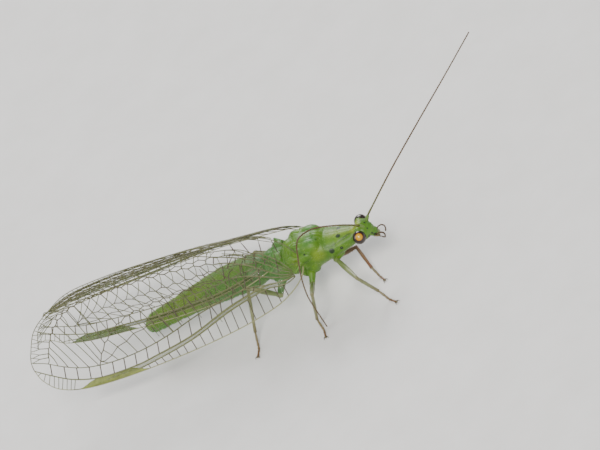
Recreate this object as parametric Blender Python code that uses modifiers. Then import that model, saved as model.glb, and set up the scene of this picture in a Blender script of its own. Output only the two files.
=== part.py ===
"""Green lacewing, life size, standing still on its six feet.

Lengths below are millimetres, and MM turns them into metres. +X runs toward the head,
+Y to the insect's left and +Z up. Places are measured from the middle of the thorax,
which is BODY_HEIGHT above the floor. At the end the whole model is moved so that the
origin lies on the floor under the middle of its box.
"""

import math

import bmesh
import bpy
from mathutils import Matrix, Vector

MM = 0.001

# Overall
BODY_HEIGHT = 2.8
FLOOR = -BODY_HEIGHT
GAP = 0.3
EYE_GAP = 0.15
WELD = 0.001
TUBE_ROUNDNESS = 2
SIDES = {"left": 1, "right": -1}

# Body segments: x, height of the middle, half width, half height above, half height below
PROTHORAX = [
    (2.90, -0.18, 0.60, 0.40, 0.44),
    (2.40, -0.20, 0.72, 0.48, 0.54),
    (1.90, -0.24, 0.88, 0.52, 0.60),
    (1.62, -0.26, 0.90, 0.48, 0.60),
]
MESOTHORAX = [
    (1.32, -0.10, 0.84, 0.66, 0.74),
    (0.85, -0.12, 1.04, 1.00, 0.94),
    (0.25, -0.14, 1.12, 1.08, 1.02),
    (-0.25, -0.16, 1.06, 0.96, 1.00),
    (-0.55, -0.18, 0.98, 0.86, 0.94),
]
METATHORAX = [
    (-0.85, -0.20, 0.94, 0.80, 0.88),
    (-1.25, -0.22, 0.98, 0.84, 0.88),
    (-1.65, -0.24, 0.90, 0.76, 0.82),
    (-1.95, -0.25, 0.80, 0.66, 0.72),
]
ABDOMEN = [
    (-2.25, -0.26, 0.74, 0.58, 0.66),
    (-3.00, -0.27, 0.94, 0.76, 0.86),
    (-4.50, -0.40, 0.88, 0.80, 0.84),
    (-6.00, -0.64, 0.72, 0.70, 0.72),
    (-7.60, -0.95, 0.58, 0.58, 0.60),
    (-8.80, -1.21, 0.52, 0.54, 0.54),
    (-9.35, -1.33, 0.44, 0.46, 0.44),
    (-9.65, -1.40, 0.16, 0.18, 0.16),
]
SEGMENT_SIDES = 16
THORAX_RINGS = 10
ABDOMEN_RINGS = 8
RINGS_EACH = 3
RING_DIP = 0.045

# Head
HEAD_MIDDLE = Vector((3.60, 0.0, -0.10))
HEAD_HALF = Vector((0.46, 0.66, 0.52))
HEAD_BACK = -0.38
FACE_AIM = Vector((0.74, 0.0, -0.67))
FACE_REACH = 0.20
HEAD_SIDES = 24
HEAD_RINGS = 16
EYE_MIDDLE = Vector((3.42, 0.58, -0.03))
EYE_RADIUS = 0.36
EYE_INNER = 0.42
EYE_SIDES = 16
EYE_RINGS = 10

# Mouth feelers
PALP_ROUTE = [
    (4.24, 0.28, -0.66, 0.19),
    (4.42, 0.32, -0.70, 0.16),
    (4.44, 0.34, -0.96, 0.11),
]
PALP_STEPS = 5

# Antennae: x, y, z, radius, for the left one raised ahead and the right one laid back
ANTENNA_STEPS = {"left": 20, "right": 36}
ANTENNA_LEFT = [
    (4.10, 0.34, 0.48, 0.27),
    (4.42, 0.47, 0.72, 0.26),
    (6.20, 1.20, 1.95, 0.25),
    (8.40, 2.10, 3.42, 0.23),
    (10.60, 3.00, 4.85, 0.20),
    (12.75, 3.85, 6.30, 0.13),
]
ANTENNA_RIGHT = [
    (3.72, -0.34, 0.78, 0.27),
    (3.35, -0.40, 0.98, 0.26),
    (2.70, -0.48, 1.18, 0.25),
    (1.78, -0.74, 1.62, 0.25),
    (1.24, -1.34, 1.96, 0.25),
    (1.10, -1.96, 2.06, 0.25),
    (1.06, -2.62, 1.78, 0.25),
    (0.95, -3.38, 1.14, 0.24),
    (0.86, -3.86, 0.30, 0.23),
    (0.84, -4.00, -0.50, 0.21),
    (0.84, -4.08, -1.20, 0.18),
    (0.82, -4.12, -1.82, 0.13),
]

# Legs: the segment each grows from, where on it, then hip, knee, ankle and toe
COXA_RADIUS = 0.34
COXA_STUB = 0.2
HIP_SHARE = 0.9
FEMUR_RADIUS = 0.29
KNEE_RADIUS = 0.27
SHIN_RADIUS = 0.25
BEND_SIDES = 12
BEND_RINGS = 8
TOE_RADIUS = 0.21
TOE_HEIGHT = 0.15
FOOT_FLAT = 0.5
HEEL_SHARE = 0.8
LEGS = {
    "foreleg_right": {
        "host": "prothorax", "along": 0.50, "turn": -122,
        "hip": (2.00, -0.92, -1.32), "knee": (3.06, -2.80, -0.86),
        "ankle": (3.37, -2.31, -2.25), "toe": (4.14, -2.96),
    },
    "foreleg_left": {
        "host": "prothorax", "along": 0.50, "turn": -58,
        "hip": (1.62, 0.66, -1.34), "knee": (2.20, 1.10, -1.62),
        "ankle": (2.95, -0.12, -2.26), "toe": (3.45, -0.86),
    },
    "midleg_right": {
        "host": "mesothorax", "along": 0.55, "turn": -132,
        "hip": (0.12, -1.32, -1.22), "knee": (0.74, -3.20, -0.32),
        "ankle": (0.02, -3.00, -2.10), "toe": (0.20, -3.72),
    },
    "midleg_left": {
        "host": "mesothorax", "along": 0.55, "turn": -48,
        "hip": (0.05, 1.30, -1.26), "knee": (-0.72, 2.42, -0.92),
        "ankle": (-1.02, 2.86, -2.25), "toe": (-1.30, 3.62),
    },
    "hindleg_right": {
        "host": "metathorax", "along": 0.45, "turn": -146,
        "hip": (-1.62, -1.52, -1.06), "knee": (-2.90, -1.46, 0.00),
        "ankle": (-3.66, -2.22, -2.22), "toe": (-3.70, -3.44),
    },
    "hindleg_left": {
        "host": "metathorax", "along": 0.45, "turn": -40,
        "hip": (-1.62, 1.46, -1.24), "knee": (-2.96, 1.52, -0.40),
        "ankle": (-4.90, 1.90, -2.22), "toe": (-5.65, 2.70),
    },
}

# Colours
BODY_GREEN = (0.20, 0.42, 0.06)
THORAX_GREEN = (0.22, 0.46, 0.14)
EYE_DARK = (0.03, 0.02, 0.01)
ANTENNA_BROWN = (0.10, 0.06, 0.03)
LEG_GREEN = (0.30, 0.40, 0.16)
MEMBRANE = (0.62, 0.66, 0.55)

# Wings, folded like a roof, with the left side's edges as x, y and z.
# A vein is its share of the way across at the root, at half length and at the tip.
# The left pair lies a little lower toward its tips.
WING_THICKNESS = 0.5
VEIN_THICKNESS = 0.72
VEIN_HALF_WIDTH = 0.14
VEIN_MOST = 0.06
CREST_END = 0.93
FOREWING = {
    "front": [
        (0.10, 1.52, -0.05), (-0.90, 2.95, -0.30), (-2.80, 3.27, -0.63), (-5.20, 3.46, -0.86),
        (-7.80, 3.57, -0.98), (-10.40, 3.60, -1.03), (-12.60, 3.53, -0.93), (-14.00, 3.28, -0.64),
        (-14.75, 2.86, -0.14), (-15.05, 2.44, 0.36),
    ],
    "hind": [
        (-0.30, 0.98, 0.92), (-1.40, 0.72, 1.95), (-3.20, 0.38, 2.36), (-5.40, 0.36, 2.75),
        (-7.80, 0.36, 2.92), (-10.00, 0.36, 2.93), (-12.00, 0.42, 2.78), (-13.30, 0.76, 2.36),
        (-14.40, 1.24, 1.80), (-14.98, 2.00, 0.95),
    ],
    "veins": [
        (0.18, 0.22, 0.17), (0.34, 0.38, 0.34), (0.50, 0.52, 0.50),
        (0.66, 0.66, 0.67), (0.82, 0.81, 0.84),
    ],
    "belly": 0.12,
    "columns": 22,
}
FOREWING_LEFT = {
    **FOREWING,
    "front": [
        (0.10, 1.52, -0.05), (-0.90, 2.90, -0.36), (-2.80, 3.20, -0.70), (-5.20, 3.42, -0.90),
        (-7.80, 3.52, -1.03), (-10.40, 3.52, -1.12), (-12.60, 3.38, -1.08), (-14.00, 3.04, -0.90),
        (-14.75, 2.54, -0.52), (-15.05, 2.08, -0.08),
    ],
    "hind": [
        (-0.30, 0.98, 0.92), (-1.40, 0.72, 1.95), (-3.20, 0.38, 2.36), (-5.40, 0.36, 2.70),
        (-7.80, 0.36, 2.76), (-10.00, 0.36, 2.62), (-12.00, 0.36, 2.30), (-13.30, 0.56, 1.82),
        (-14.40, 0.90, 1.14), (-14.98, 1.55, 0.42),
    ],
}
HINDWING = {
    "front": [
        (-1.20, 1.20, 0.30), (-2.80, 0.95, 0.72), (-4.40, 1.39, 0.29), (-6.40, 1.48, 0.19),
        (-8.60, 1.45, 0.21), (-10.80, 1.37, 0.31), (-12.60, 1.22, 0.50), (-13.70, 1.00, 0.76),
        (-14.20, 0.86, 0.94),
    ],
    "hind": [
        (-1.60, 0.85, 0.80), (-2.80, 0.60, 1.02), (-4.40, 0.38, 1.32), (-6.40, 0.36, 1.50),
        (-8.60, 0.36, 1.60), (-10.80, 0.36, 1.56), (-12.60, 0.40, 1.42), (-13.70, 0.56, 1.24),
        (-14.20, 0.68, 1.12),
    ],
    "veins": [(0.25, 0.20, 0.22), (0.50, 0.48, 0.50), (0.75, 0.76, 0.78)],
    "belly": 0.06,
    "columns": 18,
}
HINDWING_LEFT = {
    **HINDWING,
    "front": [
        (-1.20, 1.20, 0.30), (-2.80, 0.95, 0.72), (-4.40, 1.39, 0.27), (-6.40, 1.48, 0.13),
        (-8.60, 1.44, 0.08), (-10.80, 1.32, 0.10), (-12.60, 1.10, 0.16), (-13.60, 0.84, 0.24),
        (-14.05, 0.68, 0.32),
    ],
    "hind": [
        (-1.60, 0.85, 0.80), (-2.80, 0.60, 1.02), (-4.40, 0.38, 1.30), (-6.40, 0.36, 1.44),
        (-8.60, 0.36, 1.46), (-10.80, 0.36, 1.32), (-12.60, 0.36, 1.00), (-13.60, 0.42, 0.70),
        (-14.05, 0.50, 0.50),
    ],
}
WINGS = {
    "left": {"forewing": FOREWING_LEFT, "hindwing": HINDWING_LEFT},
    "right": {"forewing": FOREWING, "hindwing": HINDWING},
}


def new_collection(name):
    """An empty collection in the scene."""
    collection = bpy.data.collections.new(name)
    bpy.context.scene.collection.children.link(collection)
    return collection


def material(name, colour, roughness):
    """A plain surface of one colour."""
    made = bpy.data.materials.new(name)
    made.use_nodes = True
    shader = made.node_tree.nodes["Principled BSDF"]
    shader.inputs["Base Color"].default_value = (*colour, 1.0)
    shader.inputs["Roughness"].default_value = roughness
    shader.inputs["Metallic"].default_value = 0.0
    return made


def place(name, data, origin, collection):
    """Links a mesh or curve drawn in millimetres, with its own origin at a point of it."""
    data.transform(Matrix.Translation(-origin))
    data.transform(Matrix.Scale(MM, 4))
    made = bpy.data.objects.new(name, data)
    made.location = origin * MM
    collection.objects.link(made)
    return made


def mesh_from(bm, name):
    """A smooth-shaded mesh with its faces pointing out."""
    bmesh.ops.recalc_face_normals(bm, faces=bm.faces)
    if bm.calc_volume(signed=True) < 0:
        bmesh.ops.reverse_faces(bm, faces=bm.faces)
    mesh = bpy.data.meshes.new(name)
    bm.to_mesh(mesh)
    bm.free()
    mesh.shade_smooth()
    return mesh


def along(points, share):
    """The point at a share from 0 to 1 of a smooth curve through evenly counted points."""
    spans = len(points) - 1
    place_on = min(max(share, 0.0), 1.0) * spans
    first = min(int(place_on), spans - 1)
    t = place_on - first
    a = points[max(first - 1, 0)]
    b = points[first]
    c = points[first + 1]
    d = points[min(first + 2, spans)]
    weights = (
        -t + 2 * t ** 2 - t ** 3, 2 - 5 * t ** 2 + 3 * t ** 3, t + 4 * t ** 2 - 3 * t ** 3, t ** 3 - t ** 2,
    )
    return [0.5 * sum(weight * value for weight, value in zip(weights, values)) for values in zip(a, b, c, d)]


def skin_point(stations, share, turn, lift=0.0):
    """A point on a body segment. turn is 0 on the left, 90 on top and -90 underneath."""
    x, middle, half, above, below = along(stations, share)
    height = above if math.sin(turn) > 0 else below
    y = (half + lift) * math.cos(turn)
    return Vector((x, y, middle + (height + lift) * math.sin(turn)))


def segment(name, stations, rings, dips=0):
    """A ball whose rings are laid through the stations, with flat ends and grooves between dips."""
    bm = bmesh.new()
    bmesh.ops.create_uvsphere(bm, u_segments=SEGMENT_SIDES, v_segments=rings, radius=1.0)
    for vertex in bm.verts:
        ring = round(math.acos(max(-1.0, min(1.0, vertex.co.z))) / math.pi * rings)
        share = min(max((ring - 1) / (rings - 2), 0.0), 1.0)
        if ring in (0, rings):
            x, middle = along(stations, share)[:2]
            vertex.co = Vector((x, 0.0, middle))
        else:
            groove = dips and 0 < ring - 1 < rings - 2 and (ring - 1) % dips == 0
            lift = -RING_DIP if groove else 0.0
            vertex.co = skin_point(stations, share, math.atan2(vertex.co.y, vertex.co.x), lift)
    return mesh_from(bm, name)


def head_mesh():
    """A broad head with a face that reaches down and forward, flat where it meets the neck."""
    aim = FACE_AIM.normalized()
    bm = bmesh.new()
    bmesh.ops.create_uvsphere(bm, u_segments=HEAD_SIDES, v_segments=HEAD_RINGS, radius=1.0)
    for vertex in bm.verts:
        way = vertex.co.copy()
        reach = max(0.0, way.dot(aim)) ** 4 * FACE_REACH
        spot = Vector((way.x * HEAD_HALF.x, way.y * HEAD_HALF.y, way.z * HEAD_HALF.z)) + aim * reach
        spot.x = max(spot.x, HEAD_BACK)
        vertex.co = HEAD_MIDDLE + spot
    return mesh_from(bm, "head")


def ball_mesh(name, middle, radius):
    """A ball round a bend of a leg."""
    bm = bmesh.new()
    bmesh.ops.create_uvsphere(bm, u_segments=BEND_SIDES, v_segments=BEND_RINGS, radius=radius)
    bmesh.ops.translate(bm, verts=bm.verts, vec=middle)
    return mesh_from(bm, name)


def eye_mesh(name, side, grow=0.0):
    """A ball that is flat toward the head. grow widens it into the hollow that it sits in."""
    middle = Vector((EYE_MIDDLE.x, side * EYE_MIDDLE.y, EYE_MIDDLE.z))
    bm = bmesh.new()
    bmesh.ops.create_uvsphere(bm, u_segments=EYE_SIDES, v_segments=EYE_RINGS, radius=EYE_RADIUS + grow)
    bmesh.ops.translate(bm, verts=bm.verts, vec=middle)
    for vertex in bm.verts:
        vertex.co.y = side * max(side * vertex.co.y, EYE_INNER - grow)
    return middle, mesh_from(bm, name)


def tube_curve(name, route):
    """A round tube with closed ends through points that each have a radius."""
    curve = bpy.data.curves.new(name, "CURVE")
    curve.dimensions = "3D"
    curve.bevel_depth = 1.0
    curve.bevel_resolution = TUBE_ROUNDNESS
    curve.use_fill_caps = True
    spline = curve.splines.new("POLY")
    spline.points.add(len(route) - 1)
    for point, (x, y, z, radius) in zip(spline.points, route):
        point.co = (x, y, z, 1.0)
        point.radius = radius
    return curve


def tube_mesh(name, route):
    """The tube as a mesh with its caps welded on."""
    guide = bpy.data.objects.new(name, tube_curve(name, route))
    bpy.context.scene.collection.objects.link(guide)
    bpy.context.view_layer.update()
    evaluated = guide.evaluated_get(bpy.context.evaluated_depsgraph_get())
    mesh = bpy.data.meshes.new_from_object(evaluated)
    curve = guide.data
    bpy.data.objects.remove(guide)
    bpy.data.curves.remove(curve)
    bm = bmesh.new()
    bm.from_mesh(mesh)
    bmesh.ops.remove_doubles(bm, verts=bm.verts, dist=WELD)
    bpy.data.meshes.remove(mesh)
    return mesh_from(bm, name)


def smooth_route(points, steps):
    """Points read from the smooth curve through a few of them."""
    return [along(points, step / steps) for step in range(steps + 1)]


def largest_piece(mesh):
    """Keeps the closed surface with the most faces and drops any other."""
    bm = bmesh.new()
    bm.from_mesh(mesh)
    unseen = set(bm.faces)
    pieces = []
    while unseen:
        front = [unseen.pop()]
        piece = list(front)
        while front:
            near = {other for edge in front.pop().edges for other in edge.link_faces} & unseen
            unseen -= near
            front += near
            piece += near
        pieces.append(piece)
    pieces.sort(key=len)
    loose = {vertex for piece in pieces[:-1] for face in piece for vertex in face.verts}
    bmesh.ops.delete(bm, geom=list(loose), context="VERTS")
    bm.to_mesh(mesh)
    bm.free()


def fused(name, meshes):
    """One mesh from closed meshes that overlap, by a Boolean union on a collection."""
    pieces = new_collection(name + "_pieces")
    objects = [bpy.data.objects.new(name + "_piece", mesh) for mesh in meshes]
    bpy.context.scene.collection.objects.link(objects[0])
    for piece in objects[1:]:
        pieces.objects.link(piece)
    union = objects[0].modifiers.new("union", "BOOLEAN")
    union.operation = "UNION"
    union.operand_type = "COLLECTION"
    union.collection = pieces
    union.solver = "EXACT"
    bpy.context.view_layer.update()
    evaluated = objects[0].evaluated_get(bpy.context.evaluated_depsgraph_get())
    mesh = bpy.data.meshes.new_from_object(evaluated)
    for piece in objects:
        bpy.data.objects.remove(piece)
    bpy.data.collections.remove(pieces)
    largest_piece(mesh)
    mesh.name = name
    return mesh


def foot_mesh(ankle, toe):
    """The tarsus: down from the ankle, then flat along the floor to the toe."""
    tip = Vector((*toe, FLOOR + TOE_HEIGHT))
    back = (Vector((ankle.x, ankle.y, tip.z)) - tip).normalized()
    mesh = tube_mesh("tarsus", [
        (*ankle, SHIN_RADIUS),
        (*(tip + back * FOOT_FLAT), SHIN_RADIUS),
        (*(tip + back * FOOT_FLAT * HEEL_SHARE), SHIN_RADIUS),
        (*tip, TOE_RADIUS),
    ])
    for vertex in mesh.vertices:
        vertex.co.z = max(vertex.co.z, FLOOR)
    return mesh


def leg_mesh(name, plan, hosts):
    """Coxa, femur, tibia and tarsus, with a ball at each bend."""
    turn = math.radians(plan["turn"])
    root = skin_point(hosts[plan["host"]], plan["along"], turn, GAP)
    out = (root - skin_point(hosts[plan["host"]], plan["along"], turn)).normalized()
    hip, knee, ankle = (Vector(plan[key]) for key in ("hip", "knee", "ankle"))
    thigh = hip.lerp(knee, 0.5)
    stub = root + out * COXA_STUB
    hip_radius = COXA_RADIUS * HIP_SHARE
    return root, fused(name, [
        tube_mesh("coxa", [(*root, COXA_RADIUS), (*stub, COXA_RADIUS), (*hip, hip_radius)]),
        ball_mesh("trochanter", hip, COXA_RADIUS),
        tube_mesh("femur", [(*hip, SHIN_RADIUS), (*thigh, FEMUR_RADIUS), (*knee, SHIN_RADIUS)]),
        ball_mesh("knee", knee, KNEE_RADIUS),
        tube_mesh("tibia", [(*knee, SHIN_RADIUS), (*ankle, SHIN_RADIUS)]),
        ball_mesh("ankle", ankle, KNEE_RADIUS),
        foot_mesh(ankle, plan["toe"]),
    ])


def wing_point(plan, share, across, side):
    """share runs from root to tip and across from the front edge to the hind edge."""
    front = Vector(along(plan["front"], share))
    hind = Vector(along(plan["hind"], share))
    outward = (hind - front).cross(Vector((-1.0, 0.0, 0.0))).normalized()
    spot = front.lerp(hind, across) + outward * plan["belly"] * math.sin(math.pi * across)
    spot.y *= side
    return spot


def vein_rows(plan):
    """Each row of the grid: which vein it follows, and on which side of the crest it lies."""
    rows = [("front", 0), ("front", 1)]
    for vein in range(len(plan["veins"])):
        rows += [(vein, -1), (vein, 0), (vein, 1)]
    return rows + [("hind", -1), ("hind", 0)]


def across_at(plan, row, share):
    """How far across the wing a row lies at a share of its length."""
    follows, step = row
    front = Vector(along(plan["front"], share))
    hind = Vector(along(plan["hind"], share))
    half_width = min(VEIN_HALF_WIDTH / (front - hind).length, VEIN_MOST)
    if follows == "front":
        middle = 0.0
    elif follows == "hind":
        middle = 1.0
    else:
        middle = along([(spot,) for spot in plan["veins"][follows]], share)[0]
    return middle + step * half_width


def wing_mesh(name, plan, side):
    """The wing's middle surface as a grid of one layer, whose rows follow its veins."""
    rows, columns = vein_rows(plan), plan["columns"]
    bm = bmesh.new()
    bmesh.ops.create_grid(bm, x_segments=columns, y_segments=len(rows) - 1, size=0.5)
    crest = bm.verts.layers.deform.verify()
    for vertex in bm.verts:
        share = vertex.co.x + 0.5
        row = rows[round((vertex.co.y + 0.5) * (len(rows) - 1))]
        vertex[crest][0] = 1.0 if row[1] == 0 and share < CREST_END else 0.0
        vertex.co = wing_point(plan, share, across_at(plan, row, share), side)
    mesh = bpy.data.meshes.new(name)
    bm.to_mesh(mesh)
    bm.free()
    return mesh


def thicken(wing):
    """Splits the grid into triangles first, so that both faces are split alike."""
    wing.vertex_groups.new(name="veins")
    wing.modifiers.new("triangles", "TRIANGULATE")
    plate = wing.modifiers.new("plate", "SOLIDIFY")
    plate.thickness = VEIN_THICKNESS * MM
    plate.offset = 0.0
    plate.vertex_group = "veins"
    plate.thickness_vertex_group = WING_THICKNESS / VEIN_THICKNESS


def mirrored(route):
    """The same route on the other side of the body."""
    return [(x, -y, z, radius) for x, y, z, radius in route]


def main():
    for old in list(bpy.data.objects):
        bpy.data.objects.remove(old)
    model = new_collection("lacewing")
    cutters = new_collection("cutters")
    green = material("body_green", BODY_GREEN, 0.38)
    blue_green = material("thorax_green", THORAX_GREEN, 0.38)
    dark = material("eye_dark", EYE_DARK, 0.12)
    brown = material("antenna_brown", ANTENNA_BROWN, 0.5)
    pale = material("leg_green", LEG_GREEN, 0.42)
    membrane = material("membrane", MEMBRANE, 0.2)

    hosts = {"prothorax": PROTHORAX, "mesothorax": MESOTHORAX, "metathorax": METATHORAX}
    made = []

    def add(name, mesh, origin, finish):
        mesh.materials.clear()
        mesh.materials.append(finish)
        piece = place(name, mesh, origin, model)
        made.append(piece)
        return piece

    for name, stations in hosts.items():
        middle = stations[len(stations) // 2]
        origin = Vector((middle[0], 0.0, middle[1]))
        add(name, segment(name, stations, THORAX_RINGS), origin, blue_green)
    rings = segment("abdomen", ABDOMEN, ABDOMEN_RINGS * RINGS_EACH + 2, RINGS_EACH)
    add("abdomen", rings, Vector((ABDOMEN[0][0], 0.0, ABDOMEN[0][1])), green)

    head = add("head", head_mesh(), HEAD_MIDDLE, green)
    for side_name, side in SIDES.items():
        middle, eye = eye_mesh("eye", side)
        add("eye_" + side_name, eye, middle, dark)
        middle, hollow = eye_mesh("socket", side, EYE_GAP)
        socket = place("socket_" + side_name, hollow, middle, cutters)
        socket.hide_render = True
        socket.display_type = "WIRE"
        cut = head.modifiers.new("socket_" + side_name, "BOOLEAN")
        cut.object = socket
        cut.operation = "DIFFERENCE"
        cut.solver = "EXACT"
        palp = PALP_ROUTE if side > 0 else mirrored(PALP_ROUTE)
        feeler = tube_mesh("palp", smooth_route(palp, PALP_STEPS))
        add("palp_" + side_name, feeler, Vector(palp[0][:3]), brown)

    for side_name, route in (("left", ANTENNA_LEFT), ("right", ANTENNA_RIGHT)):
        feeler = tube_mesh("antenna", smooth_route(route, ANTENNA_STEPS[side_name]))
        add("antenna_" + side_name, feeler, Vector(route[0][:3]), brown)

    for name, plan in LEGS.items():
        root, mesh = leg_mesh(name, plan, hosts)
        add(name, mesh, root, pale)

    for side_name, side in SIDES.items():
        for kind, plan in WINGS[side_name].items():
            name = kind + "_" + side_name
            hinge = Vector(plan["front"][0])
            hinge.y *= side
            thicken(add(name, wing_mesh(name, plan, side), hinge, membrane))

    root = bpy.data.objects.new("lacewing", None)
    model.objects.link(root)
    bpy.context.view_layer.update()
    corners = [
        piece.matrix_world @ Vector(corner)
        for piece in made
        for corner in piece.evaluated_get(bpy.context.evaluated_depsgraph_get()).bound_box
    ]
    for piece in made + list(cutters.objects):
        piece.parent = root
    middle = [(min(c[axis] for c in corners) + max(c[axis] for c in corners)) / 2 for axis in (0, 1)]
    root.location = (-middle[0], -middle[1], BODY_HEIGHT * MM)


main()
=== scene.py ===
"""Looks for the green lacewing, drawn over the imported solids.

Lengths are millimetres from the middle of the thorax, as in the solids' own values,
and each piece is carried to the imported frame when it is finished.
"""

import math

import bmesh
import bpy
import numpy as np
from mathutils import Matrix, Vector


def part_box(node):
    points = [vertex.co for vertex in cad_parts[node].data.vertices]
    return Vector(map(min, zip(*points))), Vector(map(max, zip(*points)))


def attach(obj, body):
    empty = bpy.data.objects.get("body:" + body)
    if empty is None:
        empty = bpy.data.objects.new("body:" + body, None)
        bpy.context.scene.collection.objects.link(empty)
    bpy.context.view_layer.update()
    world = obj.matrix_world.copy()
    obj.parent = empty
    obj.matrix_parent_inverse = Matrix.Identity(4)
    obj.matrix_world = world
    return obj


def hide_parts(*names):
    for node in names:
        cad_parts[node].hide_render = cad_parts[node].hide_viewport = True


MM = 0.001
SEED = 7
BODY = "root"
# What turns a left side's points into those of each side
SIDES = {"left": np.array((1.0, 1.0, 1.0)), "right": np.array((1.0, -1.0, 1.0))}
MIRROR = SIDES["right"]
UP = np.array((0.0, 0.0, 1.0))

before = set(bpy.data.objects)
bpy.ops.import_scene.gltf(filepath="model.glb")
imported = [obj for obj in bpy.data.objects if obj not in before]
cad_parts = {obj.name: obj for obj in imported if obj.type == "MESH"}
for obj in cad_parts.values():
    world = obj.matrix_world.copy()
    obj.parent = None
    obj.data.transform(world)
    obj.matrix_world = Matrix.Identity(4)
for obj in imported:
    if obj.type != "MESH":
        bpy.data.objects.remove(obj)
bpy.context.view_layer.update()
rng = np.random.default_rng(SEED)

EYE_MIDDLE = np.array((3.42, 0.58, -0.03))
EYE_SOLID = 0.36
EYE_RADIUS = 0.35
ORIGIN = Vector(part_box("eye_right")[0]) - Vector(EYE_MIDDLE * MIRROR - EYE_SOLID) * MM
TO_FRAME = Matrix.Translation(ORIGIN) @ Matrix.Scale(MM, 4)
FLOOR = -2.8

# Camera, from the photograph's angle
VIEW_HEIGHT = math.radians(36.0)
VIEW_SWING = math.radians(28.0)
VIEW_ROLL = math.radians(37.0)
VIEW_DISTANCE = 0.30
VIEW_LENS = 360.0
VIEW_RAISE = 1.25
CAMERA_WAY = Vector((
    math.sin(VIEW_SWING) * math.cos(VIEW_HEIGHT), -math.cos(VIEW_SWING) * math.cos(VIEW_HEIGHT),
    math.sin(VIEW_HEIGHT),
))

# Sockets of a colour mix
MIX_FIRST, MIX_SECOND, MIX_RESULT = 6, 7, 2


# Materials
class Look:
    """A material's nodes. Its steady numbers sit on the shader itself."""

    def __init__(self, name, roughness, specular=0.5, alpha=1.0, coat=0.0, coat_roughness=0.1):
        self.material = bpy.data.materials.new(name)
        self.material.use_nodes = True
        self.tree = self.material.node_tree
        self.shader = self.tree.nodes["Principled BSDF"]
        self.put(self.shader, {
            "Roughness": roughness, "Specular IOR Level": specular, "Alpha": alpha,
            "Coat Weight": coat, "Coat Roughness": coat_roughness,
        })
        place = self.node("TexCoord", {}, "Object")
        self.place = self.node("VectorMath", {0: place, "Scale": 1.0 / MM}, operation="SCALE")

    def put(self, node, values):
        """Sets a node's inputs, each to a number, a colour or another node's output."""
        for key, value in values.items():
            if isinstance(value, bpy.types.NodeSocket):
                self.tree.links.new(value, node.inputs[key])
            else:
                node.inputs[key].default_value = (*value, 1.0) if isinstance(value, tuple) else value

    def node(self, kind, values, output=0, **settings):
        """The output of a new node."""
        made = self.tree.nodes.new("ShaderNode" + kind)
        for key, value in settings.items():
            setattr(made, key, value)
        self.put(made, values)
        return made.outputs[output]

    def noise(self, scale, detail=3.0, rough=0.6):
        values = {"Vector": self.place, "Scale": scale, "Detail": detail, "Roughness": rough}
        return self.node("TexNoise", values, "Fac")

    def cells(self, scale):
        return self.node("TexVoronoi", {"Vector": self.place, "Scale": scale}, "Distance")

    def maths(self, operation, first, second):
        return self.node("Math", {0: first, 1: second}, operation=operation)

    def rise(self, value, start, end):
        """0 up to start, 1 from end on, smooth between."""
        values = {"Value": value, "From Min": start, "From Max": end}
        return self.node("MapRange", values, "Result", interpolation_type="SMOOTHSTEP")

    def masks(self):
        """The three masks painted on the mesh, as separate values."""
        marks = self.node("Attribute", {}, "Color", attribute_name="marks")
        return list(self.node("SeparateColor", {"Color": marks}).node.outputs)

    def paint(self, value, stops, *layers):
        """Colours by (place, colour) stops over a value, with (share, colour) layers on them."""
        base = self.node("ValToRGB", {"Fac": value}, "Color")
        items = base.node.color_ramp.elements
        while len(items) < len(stops):
            items.new(0.5)
        for item, (spot, colour) in zip(items, stops):
            item.position = spot
            item.color = (*colour, 1.0)
        for share, colour in layers:
            values = {0: share, MIX_FIRST: base, MIX_SECOND: colour}
            base = self.node("Mix", values, MIX_RESULT, data_type="RGBA")
        self.put(self.shader, {"Base Color": base})

    def vary_roughness(self, value, low, high):
        values = {"Value": value, "To Min": low, "To Max": high}
        self.put(self.shader, {"Roughness": self.node("MapRange", values, "Result")})

    def bump(self, height, strength, distance):
        values = {"Strength": strength, "Distance": distance * MM, "Height": height}
        self.put(self.shader, {"Normal": self.node("Bump", values, "Normal")})


def skin_material():
    """Green cuticle: masks give dark spots with painted shade in the pronotum's side grooves, yellow parts
    and blue-green parts.
    """
    look = Look("skin_green", 0.45, 0.38, coat=0.08, coat_roughness=0.30)
    # The first mask holds the dark spots and the painted shade along the pronotum's side grooves.
    spots, yellow, blue = look.masks()
    grain = look.noise(14.0)
    pale = look.maths("MULTIPLY", look.rise(grain, 0.55, 0.80), 0.30)
    ragged = look.maths("MULTIPLY", look.maths("SUBTRACT", grain, 0.5), 0.5)
    dark = look.rise(look.maths("ADD", spots, ragged), 0.28, 0.80)
    look.paint(
        look.noise(1.6, 4.0),
        [(0.25, (0.038, 0.115, 0.003)), (0.50, (0.070, 0.175, 0.004)), (0.78, (0.118, 0.240, 0.008))],
        (blue, (0.040, 0.165, 0.030)), (yellow, (0.220, 0.280, 0.004)), (pale, (0.180, 0.300, 0.040)),
        (dark, (0.012, 0.030, 0.005)),
    )
    look.vary_roughness(grain, 0.36, 0.60)
    look.bump(look.maths("ADD", grain, look.maths("MULTIPLY", look.cells(16.0), 0.5)), 0.5, 0.02)
    return look.material


def limb_material():
    """Legs and mouth: masks give the brown share, the dark share and the green share."""
    look = Look("leg_pale_green", 0.42, coat=0.2, coat_roughness=0.3)
    brown, dark, green = look.masks()
    grain = look.noise(22.0)
    streak = look.maths("MULTIPLY", look.rise(grain, 0.55, 0.75), 0.4)
    look.paint(
        look.noise(3.5),
        [(0.30, (0.130, 0.150, 0.060)), (0.52, (0.190, 0.210, 0.090)), (0.75, (0.255, 0.270, 0.125))],
        (green, (0.090, 0.190, 0.020)), (brown, (0.170, 0.070, 0.030)), (streak, (0.140, 0.130, 0.050)),
        (dark, (0.030, 0.018, 0.010)),
    )
    look.vary_roughness(grain, 0.34, 0.55)
    look.bump(grain, 0.5, 0.012)
    return look.material


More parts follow.
